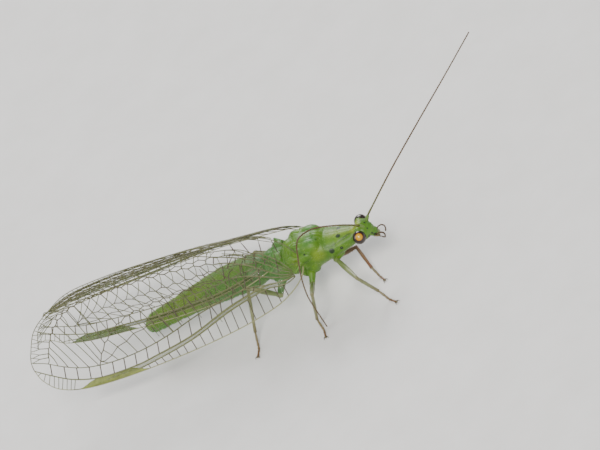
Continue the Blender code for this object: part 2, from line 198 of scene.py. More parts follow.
def feeler_material():
    """Antennae and mouth feelers: brown, darker where the mask marks a joint."""
    look = Look("feeler_brown", 0.5, 0.4)
    joint, pale, green = look.masks()
    grain = look.noise(24.0)
    look.paint(
        grain, [(0.3, (0.055, 0.030, 0.010)), (0.5, (0.090, 0.048, 0.016)), (0.7, (0.140, 0.078, 0.030))],
        (pale, (0.300, 0.190, 0.090)), (green, (0.110, 0.190, 0.035)), (joint, (0.030, 0.012, 0.006)),
    )
    look.bump(grain, 0.4, 0.01)
    return look.material


def vein_material():
    """Veins: green, and black-brown where the mask says so."""
    look = Look("vein_green", 0.42)
    dark, yellow, _ = look.masks()
    grain = look.noise(10.0)
    look.paint(
        grain, [(0.30, (0.080, 0.088, 0.030)), (0.52, (0.125, 0.135, 0.048)), (0.75, (0.185, 0.192, 0.078))],
        (yellow, (0.300, 0.300, 0.140)), (dark, (0.045, 0.022, 0.013)),
    )
    look.bump(grain, 0.4, 0.01)
    return look.material


def membrane_material():
    """A clear wing skin with a wet shine and a thin film's faint colours."""
    look = Look("wing_membrane", 0.12, 0.9, alpha=0.022, coat=1.0, coat_roughness=0.05)
    look.paint(look.noise(1.3, 4.0), [
        (0.30, (0.160, 0.230, 0.080)), (0.55, (0.230, 0.290, 0.120)), (0.80, (0.300, 0.320, 0.170)),
    ])
    wrinkle = look.noise(7.0, 5.0, 0.65)
    look.vary_roughness(wrinkle, 0.06, 0.26)
    look.bump(wrinkle, 0.55, 0.03)
    look.put(look.shader, {"Thin Film Thickness": 420.0, "Thin Film IOR": 1.56})
    return look.material


def shaded(colour, share):
    return tuple(value * share for value in colour)


def patch_material(name, colour, alpha):
    """A thicker, tinted part of a wing's skin."""
    look = Look(name, 0.4, alpha=alpha)
    cloud = look.noise(6.0, 4.0)
    look.paint(cloud, [(0.30, shaded(colour, 0.65)), (0.55, colour), (0.80, shaded(colour, 1.35))])
    look.bump(cloud, 0.4, 0.02)
    return look.material


def eye_material():
    """Dark compound eye with fine facets, and a painted copper highlight in its middle that stands for light
    reflected toward the camera.
    """
    look = Look("eye_dark", 0.22, coat=0.20, coat_roughness=0.10)
    # The first mask is the painted highlight: copper reflected light painted where the eye faces the camera.
    painted_highlight, rim, _ = look.masks()
    facets = look.cells(30.0)
    # Near-black eye colour that turns copper and orange under the painted highlight.
    look.paint(
        painted_highlight,
        [(0.00, (0.012, 0.005, 0.003)), (0.28, (0.030, 0.009, 0.002)), (0.50, (0.220, 0.060, 0.001)),
         (0.72, (0.480, 0.180, 0.000)), (1.00, (0.640, 0.370, 0.000))],
        (look.maths("MULTIPLY", facets, 0.35), (0.030, 0.012, 0.002)), (rim, (0.022, 0.026, 0.006)),
    )
    look.bump(facets, 0.35, 0.01)
    return look.material


def hair_material(name, colour):
    look = Look(name, 0.45, 0.4)
    look.paint(look.noise(5.0, 2.0, 0.5), [(0.3, shaded(colour, 0.6)), (0.7, colour)])
    return look.material


def floor_material():
    look = Look("studio_floor", 0.75, 0.2)
    look.paint(look.noise(0.4, 4.0), [(0.3, (0.700, 0.690, 0.670)), (0.7, (0.740, 0.730, 0.715))])
    return look.material


SKIN = skin_material()
LIMB = limb_material()
FEELER = feeler_material()
VEIN = vein_material()
MEMBRANE = membrane_material()
FORE_STIGMA = patch_material("stigma_green", (0.235, 0.275, 0.050), 0.80)
HIND_STIGMA = patch_material("stigma_dark", (0.100, 0.150, 0.030), 0.70)
VEIN_BAND = patch_material("vein_band", (0.130, 0.155, 0.045), 0.34)
EYE = eye_material()
PALE_HAIR = hair_material("hair_pale", (0.400, 0.520, 0.180))
DARK_HAIR = hair_material("hair_dark", (0.130, 0.095, 0.045))


# Mesh helpers
class Parts:
    """Collects many small closed meshes, with masks, for one object."""

    def __init__(self):
        self.points, self.faces, self.marks, self.patches = [], [], [], []

    def add(self, points, faces, marks=(), patch=None):
        start = len(self.points)
        self.points.extend(points)
        self.faces.extend([tuple(start + index for index in face) for face in faces])
        self.marks.extend(marks)
        self.patches.extend([patch] * len(faces))

    def mesh(self, name):
        made = bpy.data.meshes.new(name)
        made.from_pydata([tuple(point) for point in self.points], [], self.faces)
        return made

    def build(self, name, finish, slot, *nodes):
        finish_piece(name, self.mesh(name), self.marks, finish, slot, *nodes)

    def build_hair(self, name, finish, slot):
        """Hairs, each with a small square of the map at its root's place on the unwrap."""
        mesh = self.mesh(name)
        layer = mesh.uv_layers.new(name="OFBake")
        for face, (u, v) in zip(mesh.polygons, self.patches):
            for loop, (du, dv) in zip(face.loop_indices, MAP_CORNERS):
                layer.data[loop].uv = (u + du, v + dv)
        finish_piece(name, mesh, self.marks, finish, slot, smooth=False)


def add_object(name, data):
    made = bpy.data.objects.new(name, data)
    bpy.context.scene.collection.objects.link(made)
    return made


def finish_mesh(bm, name):
    """The mesh of a bmesh, which it frees."""
    mesh = bpy.data.meshes.new(name)
    bm.to_mesh(mesh)
    bm.free()
    return mesh


def finish_piece(name, mesh, marks, finish, slot, *nodes, smooth=True):
    """Paints the masks, carries the mesh to the frame and ties it to the body."""
    mesh.validate()
    mesh.transform(TO_FRAME)
    if marks is not None:
        layer = mesh.attributes.new("marks", "FLOAT_COLOR", "POINT")
        values = np.ones((len(mesh.vertices), 4), np.float32)
        values[:, :3] = marks
        layer.data.foreach_set("color", values.ravel())
    if smooth:
        mesh.shade_smooth()
    mesh.materials.append(finish)
    piece = add_object(name, mesh)
    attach(piece, BODY)
    if nodes:
        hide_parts(*nodes)


def unit(way):
    return way / (np.linalg.norm(way) + 1e-12)


def square_to(way, start):
    """The part of start that is square to way, with length 1."""
    return unit(start - way * np.dot(start, way))


def reach_along(points):
    """The distance from the first point to each one, along the line."""
    return np.concatenate([[0.0], np.cumsum(np.linalg.norm(np.diff(points, axis=0), axis=1))])


def smooth_points(points, count):
    """Evenly counted points of the smooth curve through the given ones, of any width."""
    points = np.asarray(points, float)
    spans = len(points) - 1
    places = np.linspace(0.0, spans, count)
    first = np.minimum(places.astype(int), spans - 1)
    t = (places - first)[:, None]
    p, q, r = points[np.maximum(first - 1, 0)], points[first], points[first + 1]
    s = points[np.minimum(first + 2, spans)]
    return 0.5 * (
        2 * q + (r - p) * t + (2 * p - 5 * q + 4 * r - s) * t ** 2 + (3 * q - p - 3 * r + s) * t ** 3
    )


def even_points(points, count, dense=400):
    """Points at equal distances along the smooth curve."""
    fine = smooth_points(points, dense)
    reach = reach_along(fine)
    wanted = np.linspace(0.0, reach[-1], count)
    return np.stack([np.interp(wanted, reach, column) for column in fine.T], axis=1)


def spread(values, count):
    """One value, row or few of them at even places, as count of them."""
    values = np.atleast_1d(values)
    places, given = np.linspace(0, 1, count), np.linspace(0, 1, len(values))
    if values.ndim == 1:
        return np.interp(places, given, values)
    return np.stack([np.interp(places, given, column) for column in values.T], axis=1)


def ring_faces(rings, sides):
    """Faces of a closed loft through rings of points."""
    turns = range(sides)
    faces = []
    for start in range(0, (rings - 1) * sides, sides):
        for turn in turns:
            a, b = start + turn, start + (turn + 1) % sides
            faces.append((a, b, b + sides, a + sides))
    return [*faces, tuple(turns[::-1]), tuple((rings - 1) * sides + turn for turn in turns)]


def tube(parts, route, radii, sides, marks, flat=1.0, up=UP):
    """A closed tube. marks is one triple or one for each ring."""
    route = np.asarray(route, float)
    count = len(route)
    radii = np.broadcast_to(radii, (count,))
    tangents = np.gradient(route, axis=0)
    tangents /= np.linalg.norm(tangents, axis=1)[:, None] + 1e-12
    side = unit(np.cross(tangents[0], up))
    turns = np.linspace(0.0, 2 * math.pi, sides, endpoint=False)
    points = []
    for spot, way, radius in zip(route, tangents, radii):
        side = square_to(way, side)
        around = np.outer(np.cos(turns), side) + np.outer(np.sin(turns) * flat, np.cross(side, way))
        points.extend(spot + around * radius)
    painted = np.repeat(np.broadcast_to(marks, (count, 3)), sides, axis=0)
    parts.add(points, ring_faces(count, sides), painted.tolist())


SPIKE_FACES = [(0, 1, 4, 3), (1, 2, 5, 4), (2, 0, 3, 5), (3, 4, 6), (4, 5, 6), (5, 3, 6), (2, 1, 0)]
THIRDS = (0.0, 2.0944, 4.1888)
MAP_CORNERS = [(-0.0015, -0.0015), (0.0015, -0.0015), (0.0, 0.0015), (0.0015, 0.0015)]


def spike(parts, root, reach, radius, bend=None, patch=(0.5, 0.5)):
    """A hair: three-sided, closed, with one joint where it bends."""
    length = np.linalg.norm(reach)
    way = reach / (length + 1e-12)
    side = unit(np.cross(way, (0.31, 0.52, 0.79)))
    rise = np.cross(way, side)
    middle = root + reach * 0.55
    if bend is not None:
        middle = middle + bend * length * 0.12
    points = []
    for spot, size in ((root - way * radius, 1.0), (middle, 0.7)):
        for turn in THIRDS:
            points.append(spot + (side * math.cos(turn) + rise * math.sin(turn)) * radius * size)
    parts.add([*points, root + reach], SPIKE_FACES, [(0.0, 0.0, 0.0)] * 7, patch)


def step(value, start, end):
    """0 up to start and 1 from end on, smooth between. Works on arrays."""
    share = np.clip((value - start) / (end - start), 0.0, 1.0)
    return share * share * (3.0 - 2.0 * share)


def groove(value, width):
    """1 in the middle of a groove and 0 beyond its width."""
    return np.clip(1.0 - np.abs(value) / width, 0.0, 1.0) ** 1.5


# Skin
# Body stations: x, height of the middle, half width, half height above, half height below
TRUNK = [
    (3.40, -0.12, 0.36, 0.28, 0.34), (3.15, -0.15, 0.46, 0.35, 0.38), (2.90, -0.18, 0.57, 0.41, 0.44),
    (2.40, -0.20, 0.74, 0.51, 0.54), (1.90, -0.22, 0.90, 0.60, 0.64), (1.58, -0.18, 0.95, 0.66, 0.72),
    (1.32, -0.14, 0.98, 0.74, 0.80), (0.85, -0.12, 1.06, 0.90, 0.94), (0.25, -0.14, 1.12, 1.00, 1.02),
    (-0.25, -0.16, 1.06, 0.90, 1.00), (-0.60, -0.18, 0.98, 0.74, 0.94), (-0.90, -0.20, 0.95, 0.72, 0.90),
    (-1.25, -0.22, 0.96, 0.76, 0.88), (-1.65, -0.24, 0.90, 0.70, 0.82), (-1.95, -0.25, 0.80, 0.60, 0.72),
    (-2.20, -0.26, 0.76, 0.56, 0.68), (-2.55, -0.26, 0.86, 0.68, 0.78), (-3.00, -0.27, 0.94, 0.76, 0.86),
    (-4.50, -0.40, 0.88, 0.80, 0.84), (-6.00, -0.64, 0.72, 0.70, 0.72), (-7.60, -0.95, 0.58, 0.58, 0.60),
    (-8.80, -1.21, 0.52, 0.54, 0.54), (-9.35, -1.33, 0.44, 0.46, 0.44), (-9.65, -1.40, 0.18, 0.20, 0.18),
]
# Lumps that the skin takes in: middle, radii, tilt about y in degrees. Mirrored where y isn't 0.
LUMPS = [
    ((3.58, 0.00, -0.10), (0.42, 0.60, 0.48), 0), ((3.52, 0.00, 0.12), (0.34, 0.42, 0.32), 0),
    ((3.82, 0.00, -0.20), (0.26, 0.38, 0.34), 30), ((3.96, 0.00, -0.40), (0.24, 0.31, 0.21), 42),
    ((3.66, 0.28, -0.22), (0.22, 0.14, 0.20), 30), ((3.44, 0.33, 0.14), (0.22, 0.20, 0.24), 0),
    ((3.80, 0.20, 0.06), (0.14, 0.14, 0.12), 0), ((1.10, 0.00, 0.38), (0.44, 0.50, 0.40), 20),
    ((0.80, 0.48, 0.40), (0.60, 0.46, 0.42), 4), ((0.08, 0.42, 0.48), (0.52, 0.44, 0.36), -4),
    ((0.36, 1.02, 0.20), (0.32, 0.20, 0.24), 0), ((-0.36, 0.00, 0.52), (0.32, 0.42, 0.28), -10),
    ((0.46, 0.96, 0.24), (0.46, 0.22, 0.26), 0), ((-0.18, 0.94, 0.30), (0.34, 0.20, 0.22), 0),
    ((-1.02, 0.38, 0.30), (0.40, 0.40, 0.30), 0), ((-1.54, 0.00, 0.30), (0.30, 0.38, 0.24), 0),
    ((-1.22, 0.84, 0.12), (0.40, 0.20, 0.24), 0), ((1.94, 0.40, -0.46), (0.34, 0.30, 0.34), 0),
    ((0.55, 0.66, -0.52), (0.42, 0.44, 0.56), 14), ((0.02, 0.70, -0.56), (0.36, 0.42, 0.56), -6),
    ((-1.10, 0.60, -0.52), (0.36, 0.38, 0.50), 10), ((-1.56, 0.58, -0.52), (0.34, 0.36, 0.46), -8),
    ((-9.42, 0.16, -1.24), (0.20, 0.18, 0.20), 0),
]
COXA_ROOTS = {
    "foreleg": (2.00, 0.46, -0.60), "midleg": (0.30, 0.66, -0.72), "hindleg": (-1.30, 0.62, -0.68),
}
COXA_THICK = (0.25, 0.155)
WING_ROOTS = (((0.42, 0.94, 0.26), (-0.12, 1.55, 0.00)), ((-1.10, 0.80, 0.30), (-1.42, 1.18, 0.26)))
ROOT_THICK = (0.15, 0.075)
SKIN_VOXEL = 0.034
SKIN_ROUNDS = 6
SEGMENT_EDGES = np.array([-2.20, -2.92, -3.86, -4.80, -5.72, -6.60, -7.42, -8.16, -8.80, -9.28, -9.70])
# Dark spots of both sides: middle and radius
SPOTS = [
    ((2.34, 0.28, 0.30), 0.12), ((1.87, 0.88, -0.02), 0.13), ((2.35, 0.75, -0.15), 0.08),
    ((1.34, 0.40, 0.70), 0.10), ((-0.24, 0.42, 0.84), 0.09), ((0.58, 1.02, 0.45), 0.055),
    ((0.86, 0.98, -0.10), 0.05), ((-0.42, 0.92, 0.42), 0.05), ((-1.30, 0.52, 0.55), 0.07),
    ((-1.75, 0.84, 0.05), 0.06), ((3.80, 0.0, 0.24), 0.07), ((3.92, 0.27, 0.10), 0.048),
    ((3.80, 0.42, -0.28), 0.09), ((4.00, 0.30, -0.28), 0.06), ((4.06, 0.27, -0.42), 0.07),
]
# Legs: hip, knee and ankle, and where the toe stands on the floor
LEGS = {
    "foreleg_right": ((1.68, -0.66, -0.80), (3.06, -2.74, -0.66), (3.37, -2.31, -2.25), (4.14, -2.96)),
    "foreleg_left": ((1.24, 0.42, -1.56), (2.14, 0.98, -1.84), (2.82, -0.34, -2.34), (3.38, -1.08)),
    "midleg_right": ((0.12, -1.32, -1.22), (0.74, -3.20, -0.32), (0.02, -3.00, -2.10), (0.20, -3.72)),
    "midleg_left": ((0.05, 1.30, -1.26), (-0.72, 2.42, -0.92), (-1.02, 2.86, -2.25), (-1.30, 3.62)),
    "hindleg_right": ((-1.62, -1.52, -1.06), (-2.90, -1.46, 0.00), (-3.66, -2.22, -2.22), (-3.70, -3.44)),
    "hindleg_left": ((-1.62, 1.46, -1.24), (-2.96, 1.52, -0.40), (-4.90, 1.90, -2.22), (-5.65, 2.70)),
}


def unit_ball(sides=24, rows=16):
    """A closed ball's points and faces, of radius 1."""
    tilts = np.repeat(np.pi * np.arange(1, rows) / rows, sides)
    angles = np.tile(2 * np.pi * np.arange(sides) / sides, rows - 1)
    rings = np.stack([np.sin(tilts) * np.cos(angles), np.sin(tilts) * np.sin(angles), np.cos(tilts)], axis=1)
    last, low_row = len(rings) + 1, 1 + (rows - 2) * sides
    faces = []
    for turn in range(sides):
        after = (turn + 1) % sides
        faces.append((0, 1 + turn, 1 + after))
        faces.append((last, low_row + after, low_row + turn))
        for start in range(1, low_row, sides):
            faces.append((start + turn, start + sides + turn, start + sides + after, start + after))
    return np.array([UP, *rings, -UP]), faces


BALL_POINTS, BALL_FACES = unit_ball()


def add_trunk(shape, sides=40):
    """The body's closed loft, from the neck to the tip of the abdomen."""
    rings = smooth_points(TRUNK, 150)
    angles = np.linspace(0.0, 2 * math.pi, sides, endpoint=False)
    points = []
    for x, middle, half, above, below in rings:
        height = np.where(np.sin(angles) > 0, above, below)
        points.extend(zip(np.full(sides, x), half * np.cos(angles), middle + height * np.sin(angles)))
    shape.add(points, ring_faces(len(rings), sides))


def add_lump(shape, middle, radii, tilt=0.0):
    turn = np.array(Matrix.Rotation(math.radians(tilt), 3, "Y"))
    shape.add((BALL_POINTS * radii) @ turn.T + middle, BALL_FACES)


def add_rod(shape, start, end, first, second):
    """A rounded rod as a run of balls, which the remesh joins."""
    for share in np.linspace(0.0, 1.0, 9):
        add_lump(shape, start + (end - start) * share, first + (second - first) * share)


def remeshed(shape):
    """One closed surface round all the pieces, then smoothed."""
    mesh = shape.mesh("rough")
    rough = add_object("rough", mesh)
    wrap = rough.modifiers.new("wrap", "REMESH")
    wrap.mode = "VOXEL"
    wrap.voxel_size = SKIN_VOXEL
    ease = rough.modifiers.new("ease", "SMOOTH")
    ease.factor = 0.5
    ease.iterations = SKIN_ROUNDS
    bpy.context.view_layer.update()
    made = bpy.data.meshes.new_from_object(rough.evaluated_get(bpy.context.evaluated_depsgraph_get()))
    bpy.data.objects.remove(rough)
    bpy.data.meshes.remove(mesh)
    return made


def read(data, name):
    """Triples of a mesh's points or normals."""
    values = np.empty(len(data) * 3)
    data.foreach_get(name, values)
    return values.reshape(-1, 3)


def centre_height(x):
    """The height of the body's middle line."""
    stations = np.array(TRUNK)[::-1]
    return np.interp(x, stations[:, 0], stations[:, 1])


def band(value, start, full, fade, end):
    """0 up to start, 1 from full to fade and 0 from end on."""
    return step(value, start, full) * (1.0 - step(value, fade, end))


def skin_lift(points):
    """Plates, creases and folds, as a lift along the normal."""
    x, y, z = points.T
    side, up = np.abs(y), z - centre_height(x)
    angle = np.arctan2(up, side)
    on_tail = step(-x, 2.25, 2.55)
    on_front = band(x, 1.55, 1.70, 2.85, 3.00)
    on_middle = band(x, -0.70, -0.50, 1.40, 1.50)
    on_rear = band(x, -2.00, -1.85, -0.75, -0.65)
    on_head = step(x, 3.22, 3.36)
    along_face = (x - 3.86) * 0.66 - (z + 0.22) * 0.75
    # Each crease: depth, distance from its line, width and the part of the body it is on
    creases = [
        # Abdomen: a soft fold along each side
        (0.040, angle + 0.30, 0.22, on_tail),
        (-0.014, angle + 0.62, 0.30, on_tail),
        (-0.010, angle + 0.35, 0.5, on_tail * np.sin(x * 23.0)),
        # Pronotum: a crease across its middle, a rim along its sides and a line down its back
        (0.016, x - 2.12 - 0.06 * np.cos(y * 3.0), 0.12, on_front * step(up, -0.02, 0.12)),
        (0.014, y, 0.06, on_front * step(up, 0.1, 0.25)),
        (0.026, up - 0.34, 0.14, on_front),
        (0.024, x - 1.56, 0.12, 1.0),
        # Wing-bearing segments: lines between their plates
        (0.045, side - 0.32 - 0.10 * (1.0 - x), 0.06, on_middle * step(z, 0.45, 0.60)),
        (0.030, y, 0.04, band(x, 0.9, 1.0, 1.45, 1.5) * step(z, 0.3, 0.5)),
        (0.060, x + 0.04 + 0.35 * side, 0.06, on_middle * step(z, 0.40, 0.55)),
        (0.090, x + 0.72, 0.10, 1.0),
        (0.040, side - 0.16, 0.06, on_rear * step(z, 0.20, 0.35)),
        (0.050, x + 1.36 + 0.25 * side, 0.06, on_rear * step(z, 0.2, 0.3)),
        (0.090, x + 2.06, 0.12, 1.0),
        # Head: a line round the face plate, the cheeks' seam and the crown's edge
        (0.030, x - 3.26 - 0.08 * np.cos(side * 2.0), 0.06, step(z, -0.2, 0.0)),
        (0.030, along_face - 0.02 - side * 0.10, 0.05, on_head * step(x, 3.80, 3.90)),
        (0.035, along_face - 0.22, 0.045, on_head * step(x, 3.90, 4.00)),
        (0.022, y, 0.04, on_head * step(z, 0.20, 0.30) * (1.0 - step(x, 3.66, 3.76))),
    ]
    # Flanks: slanting seams above the hips
    for start, lean in ((0.30, 0.35), (-1.30, 0.30), (0.95, 0.2), (-0.30, 0.2), (-1.75, 0.15)):
        creases.append((0.050, x - start - lean * up, 0.07, step(-up, 0.05, 0.25) * step(side, 0.4, 0.6)))
    # Abdomen: a crease at each plate's edge, and plates that overlap backwards
    creases += [(0.028, x - edge + 0.03, 0.07, on_tail) for edge in SEGMENT_EDGES[1:-1]]
    lift = -sum(depth * groove(away, width) * part for depth, away, width, part in creases)
    for front, back in zip(SEGMENT_EDGES, SEGMENT_EDGES[1:]):
        share = np.clip((front - x) / (front - back), 0.0, 1.0)
        lift += (x <= front) * (x > back) * on_tail * (0.034 * share ** 0.8 - 0.014)
    return lift


def skin_marks(points):
    """Dark spots with painted shade in the pronotum's side grooves, yellow parts and blue-green parts."""
    x, y, z = points.T
    side, up = np.abs(y), z - centre_height(x)
    both = np.stack([x, side, z], axis=1)

    def near(spot, full, end, squash=1.0):
        return 1.0 - step(np.linalg.norm((both - spot) * squash, axis=1), full, end)

    spots = [near(spot, size * 0.55, size * 1.35, (0.85, 1.0, 0.8)) for spot, size in SPOTS]
    # Thin dark lines: a seam behind the wings, and painted shade in the groove along each side of the
    # pronotum
    seam = 0.75 * groove(x + 2.06, 0.05) * step(up, 0.1, 0.4) * step(side, 0.3, 0.5)
    # Painted shade: a dark line painted along the groove on each side of the pronotum.
    edge = 0.58 * groove(up - 0.34, 0.15) * band(x, 1.65, 1.95, 2.95, 3.15) * step(side, 0.15, 0.25)
    dark = np.max([*spots, seam, edge], axis=0)
    stripe = 1.0 - step(side, 0.16, 0.42)
    crown = band(x, 2.75, 3.10, 3.50, 3.70) * stripe * step(up, 0.05, 0.25)
    tail = step(-x, 2.4, 3.2) * (0.25 + 0.75 * (1.0 - step(np.abs(side - 0.30), 0.10, 0.40)))
    yellow = 0.75 * crown + 0.24 * tail * step(up, -0.2, 0.2) + 0.35 * band(x, 1.5, 1.9, 2.7, 3.0) * stripe
    yellow += 0.40 * near((1.15, 0.85, 0.05), 0.15, 0.55) + 0.35 * near((0.05, 0.95, 0.15), 0.10, 0.50)
    blue = 0.70 * band(-x, 0.4, 1.4, 4.6, 6.4) + 0.50 * step(-x, 7.5, 9.0) + 0.25 * step(x, 3.7, 4.0)
    blue += 0.55 * near((0.90, 0.45, 0.75), 0.15, 0.50)
    return np.clip(np.stack([dark, yellow, blue], axis=1), 0.0, 1.0)


def make_skin():
    shape = Parts()
    add_trunk(shape)
    for middle, radii, tilt in LUMPS:
        add_lump(shape, middle, radii, tilt)
        if middle[1]:
            add_lump(shape, middle * MIRROR, radii, tilt)
    for name, plan in LEGS.items():
        kind, side_name = name.split("_")
        add_rod(shape, COXA_ROOTS[kind] * SIDES[side_name], np.array(plan[0]), *COXA_THICK)
    for mirror in SIDES.values():
        for start, end in WING_ROOTS * mirror:
            add_rod(shape, start, end, *ROOT_THICK)
    mesh = remeshed(shape)
    points = read(mesh.vertices, "co")
    points += read(mesh.vertex_normals, "vector") * skin_lift(points)[:, None]
    # A low rim round each eye
    for mirror in SIDES.values():
        away = points - EYE_MIDDLE * mirror
        far = np.linalg.norm(away, axis=1)[:, None]
        points += away / (far + 1e-9) * 0.020 * groove(far - EYE_RADIUS - 0.05, 0.10)
    mesh.vertices.foreach_set("co", points.ravel())
    mesh.update()
    return mesh, points


skin_mesh, skin_points = make_skin()
skin_normals = read(skin_mesh.vertex_normals, "vector")
finish_piece(
    "body_skin", skin_mesh, skin_marks(skin_points), SKIN, "abdomen_green",
    "head", "prothorax", "mesothorax", "metathorax", "abdomen",
)

HAIRS_TRIED = 7200
BODY_HAIR_THICK = 0.0042
# No hairs in front of the face, fewer below the hips, more on the tail and longer ones on its tip
FACE, NECK, TAIL, TAIL_TIP = 3.6, 3.3, -2.3, -8.8
HIPS = -1.15
BODY_END, BODY_LENGTH = -9.8, 14.6


def make_body_hair():
    """Short pale hairs over the body, denser and longer toward the tail's tip."""
    parts = Parts()
    for index in rng.choice(len(skin_points), HAIRS_TRIED, replace=False):
        x, y, z = skin_points[index]
        if x > FACE or (x < NECK and z < HIPS and rng.random() < 0.5):
            continue
        if rng.random() > (1.0 if x < TAIL else 0.45):
            continue
        length = rng.uniform(0.05, 0.11) * (1.5 if x < TAIL_TIP else 1.0)
        normal = skin_normals[index]
        way = unit(normal * 0.75 + (-0.72, 0.0, -0.12) + rng.normal(0.0, 0.16, 3))
        round_share = math.atan2(z - centre_height(x), y) / (2 * math.pi) + 0.5
        patch = (0.05 + 0.9 * (x - BODY_END) / BODY_LENGTH, 0.05 + 0.9 * round_share)
        spike(parts, skin_points[index], way * length, BODY_HAIR_THICK, -normal, patch)
    parts.build_hair("body_hair", PALE_HAIR, "abdomen_green")


make_body_hair()


# Eyes
def make_eye(side_name, mirror):
    """An eye with a painted highlight toward the camera, weaker on the far side."""
    bm = bmesh.new()
    bmesh.ops.create_icosphere(bm, subdivisions=5, radius=EYE_RADIUS)
    side = mirror[1]
    # The painted highlight's middle: toward the camera, tilted a little up.
    highlight_way = Vector((CAMERA_WAY.x - 0.05, -CAMERA_WAY.y * side, CAMERA_WAY.z + 0.10)).normalized()
    marks = []
    for vertex in bm.verts:
        way = vertex.co.normalized()
        # Painted highlight: copper reflected light painted round that way, much fainter on the far eye.
        painted_highlight = step(way.dot(highlight_way), 0.76, 0.93) * (0.20 if side > 0 else 1.0)
        marks.append((painted_highlight, 0.6 if way.y * side < -0.2 else 0.0, 0.0))
        vertex.co = Vector(EYE_MIDDLE * mirror + vertex.co * Vector((0.98, 1.0, 1.02)))
    name = "eye_" + side_name
    finish_piece(name + "_ball", finish_mesh(bm, name), marks, EYE, "eye_dark", name)


# Feelers
ANTENNAE = {
    "left": [
        (4.08, 0.33, 0.40), (4.42, 0.46, 0.66), (6.20, 1.20, 1.95), (8.40, 2.10, 3.42), (10.60, 3.00, 4.85),
        (12.75, 3.85, 6.30),
    ],
    "right": [
        (3.66, -0.27, 0.42), (3.28, -0.34, 0.72), (2.70, -0.48, 1.12), (1.78, -0.74, 1.62),
        (1.24, -1.34, 1.96), (1.10, -1.96, 2.06), (1.06, -2.62, 1.78), (0.95, -3.38, 1.14),
        (0.86, -3.86, 0.30), (0.84, -4.00, -0.50), (0.84, -4.08, -1.20), (0.82, -4.12, -1.82),
    ],
}
SOCKETS = {"left": (3.80, 0.20, 0.10), "right": (3.78, -0.20, 0.12)}
# The second joint, and the lash from its root to its tip
PEDICEL_THICK = (0.048, 0.055, 0.045)
ANTENNA_THICK = (0.043, 0.028)
JOINT_LENGTH = 0.155
RINGS_PER_JOINT = 4
FEELER_HAIR_THICK = 0.0036


def make_antenna(side_name):
    """A bulbous first joint, a short second one, and a ringed lash with hairs."""
    parts, hair = Parts(), Parts()
    route = ANTENNAE[side_name]
    socket = np.array(SOCKETS[side_name])
    shares = np.linspace(-0.15, 1.0, 12)
    sizes = 0.068 + 0.030 * np.sin(math.pi * np.clip((shares + 0.15) / 1.15, 0, 1))
    sizes[-1] = 0.052
    spots = socket + np.outer(shares, route[0] - socket)
    tube(parts, spots, sizes, 16, [(0.15 if share > 0.9 else 0.0, 0.0, 1.0) for share in shares])
    fine = even_points(route, 60)
    tube(parts, fine[:3], PEDICEL_THICK, 14, (0.2, 0.0, 0.4))
    count = int(reach_along(fine)[-1] / JOINT_LENGTH) * RINGS_PER_JOINT + 1
    path = even_points(route, count)
    radii, marks = [], []
    for ring, base in enumerate(np.linspace(*ANTENNA_THICK, count)):
        place = (ring % RINGS_PER_JOINT) / RINGS_PER_JOINT
        radii.append(base * (1.0 + 0.12 * place if place else 0.84))
        olive = max(0.0, 0.5 - 2.0 * ring / (count - 1))
        marks.append((0.15 if place else 0.80, 0.12 * (1 - place), olive))
    tube(parts, path, radii, 10, marks)
    tangents = np.gradient(path, axis=0)
    for ring in range(2, count - 1, 2):
        for turn in range(4):
            way = unit(tangents[ring])
            around = square_to(way, rng.normal(0.0, 1.0, 3))
            root = path[ring] + around * radii[ring] * 0.8
            patch = (0.05 + 0.9 * ring / count, 0.1 + 0.2 * turn)
            spike(hair, root, (around * 0.62 + way * 0.8) * 0.060, FEELER_HAIR_THICK, None, patch)
    name = "antenna_" + side_name
    parts.build(name + "_rings", FEELER, "antenna_brown", name)
    hair.build_hair(name + "_hair", DARK_HAIR, "antenna_brown")


# Mouth: feelers of five and three joints, jaws and an upper lip
PALPS = [
    (0.036, [
        (4.04, 0.20, -0.54), (4.18, 0.25, -0.46), (4.38, 0.27, -0.42), (4.50, 0.26, -0.52),
        (4.49, 0.24, -0.70), (4.40, 0.23, -0.86),
    ]),
    (0.028, [
        (4.02, 0.10, -0.64), (4.12, 0.12, -0.76), (4.24, 0.13, -0.82), (4.30, 0.12, -0.94),
    ]),
]
JAW_THICK = (0.070, 0.055, 0.012)
JAW = [(3.98, 0.26, -0.50), (4.10, 0.22, -0.62), (4.17, 0.12, -0.70), (4.18, 0.02, -0.72)]
LIP = [(4.04, 0.0, -0.46), (4.11, 0.0, -0.53), (4.16, 0.0, -0.60), (4.19, 0.0, -0.66), (4.20, 0.0, -0.69)]

LIP_THICK = (0.19, 0.21, 0.19, 0.13, 0.05)


def make_mouth(side_name, mirror):
    parts = Parts()
    shares = np.linspace(-0.04, 1.04, 8)
    for thick, route in PALPS:
        sizes = thick * (0.62 + 0.45 * np.sin(math.pi * (0.12 + 0.62 * (shares + 0.04))))
        marks = [(0.45, 0.0, 0.0) if 0.10 < share < 0.90 else (0.0, 0.12, 0.0) for share in shares]
        for start, end in zip(route * mirror, route[1:] * mirror):
            tube(parts, start + np.outer(shares, end - start), sizes, 10, marks)
    parts.build("palp_" + side_name + "_joints", FEELER, "palp_brown", "palp_" + side_name)
    jaw = Parts()
    marks = np.outer(0.25 + 0.65 * np.linspace(0, 1, 12), (1.0, 0.0, 0.0))
    tube(jaw, smooth_points(JAW * mirror, 12), spread(JAW_THICK, 12), 10, marks, flat=0.6)
    jaw.build("jaw_" + side_name, LIMB, "head_green")


def make_lip():
    """The upper lip, a small rounded flap below the face plate."""
    parts = Parts()
    tube(parts, LIP, LIP_THICK, 24, (0.10, 0.0, 0.55), flat=0.30, up=(1.0, 0.0, 1.0))
    parts.build("upper_lip", LIMB, "head_green")


for side_name, mirror in SIDES.items():
    make_eye(side_name, mirror)
for side_name in SIDES:
    make_antenna(side_name)
for side_name, mirror in SIDES.items():
    make_mouth(side_name, mirror)
make_lip()

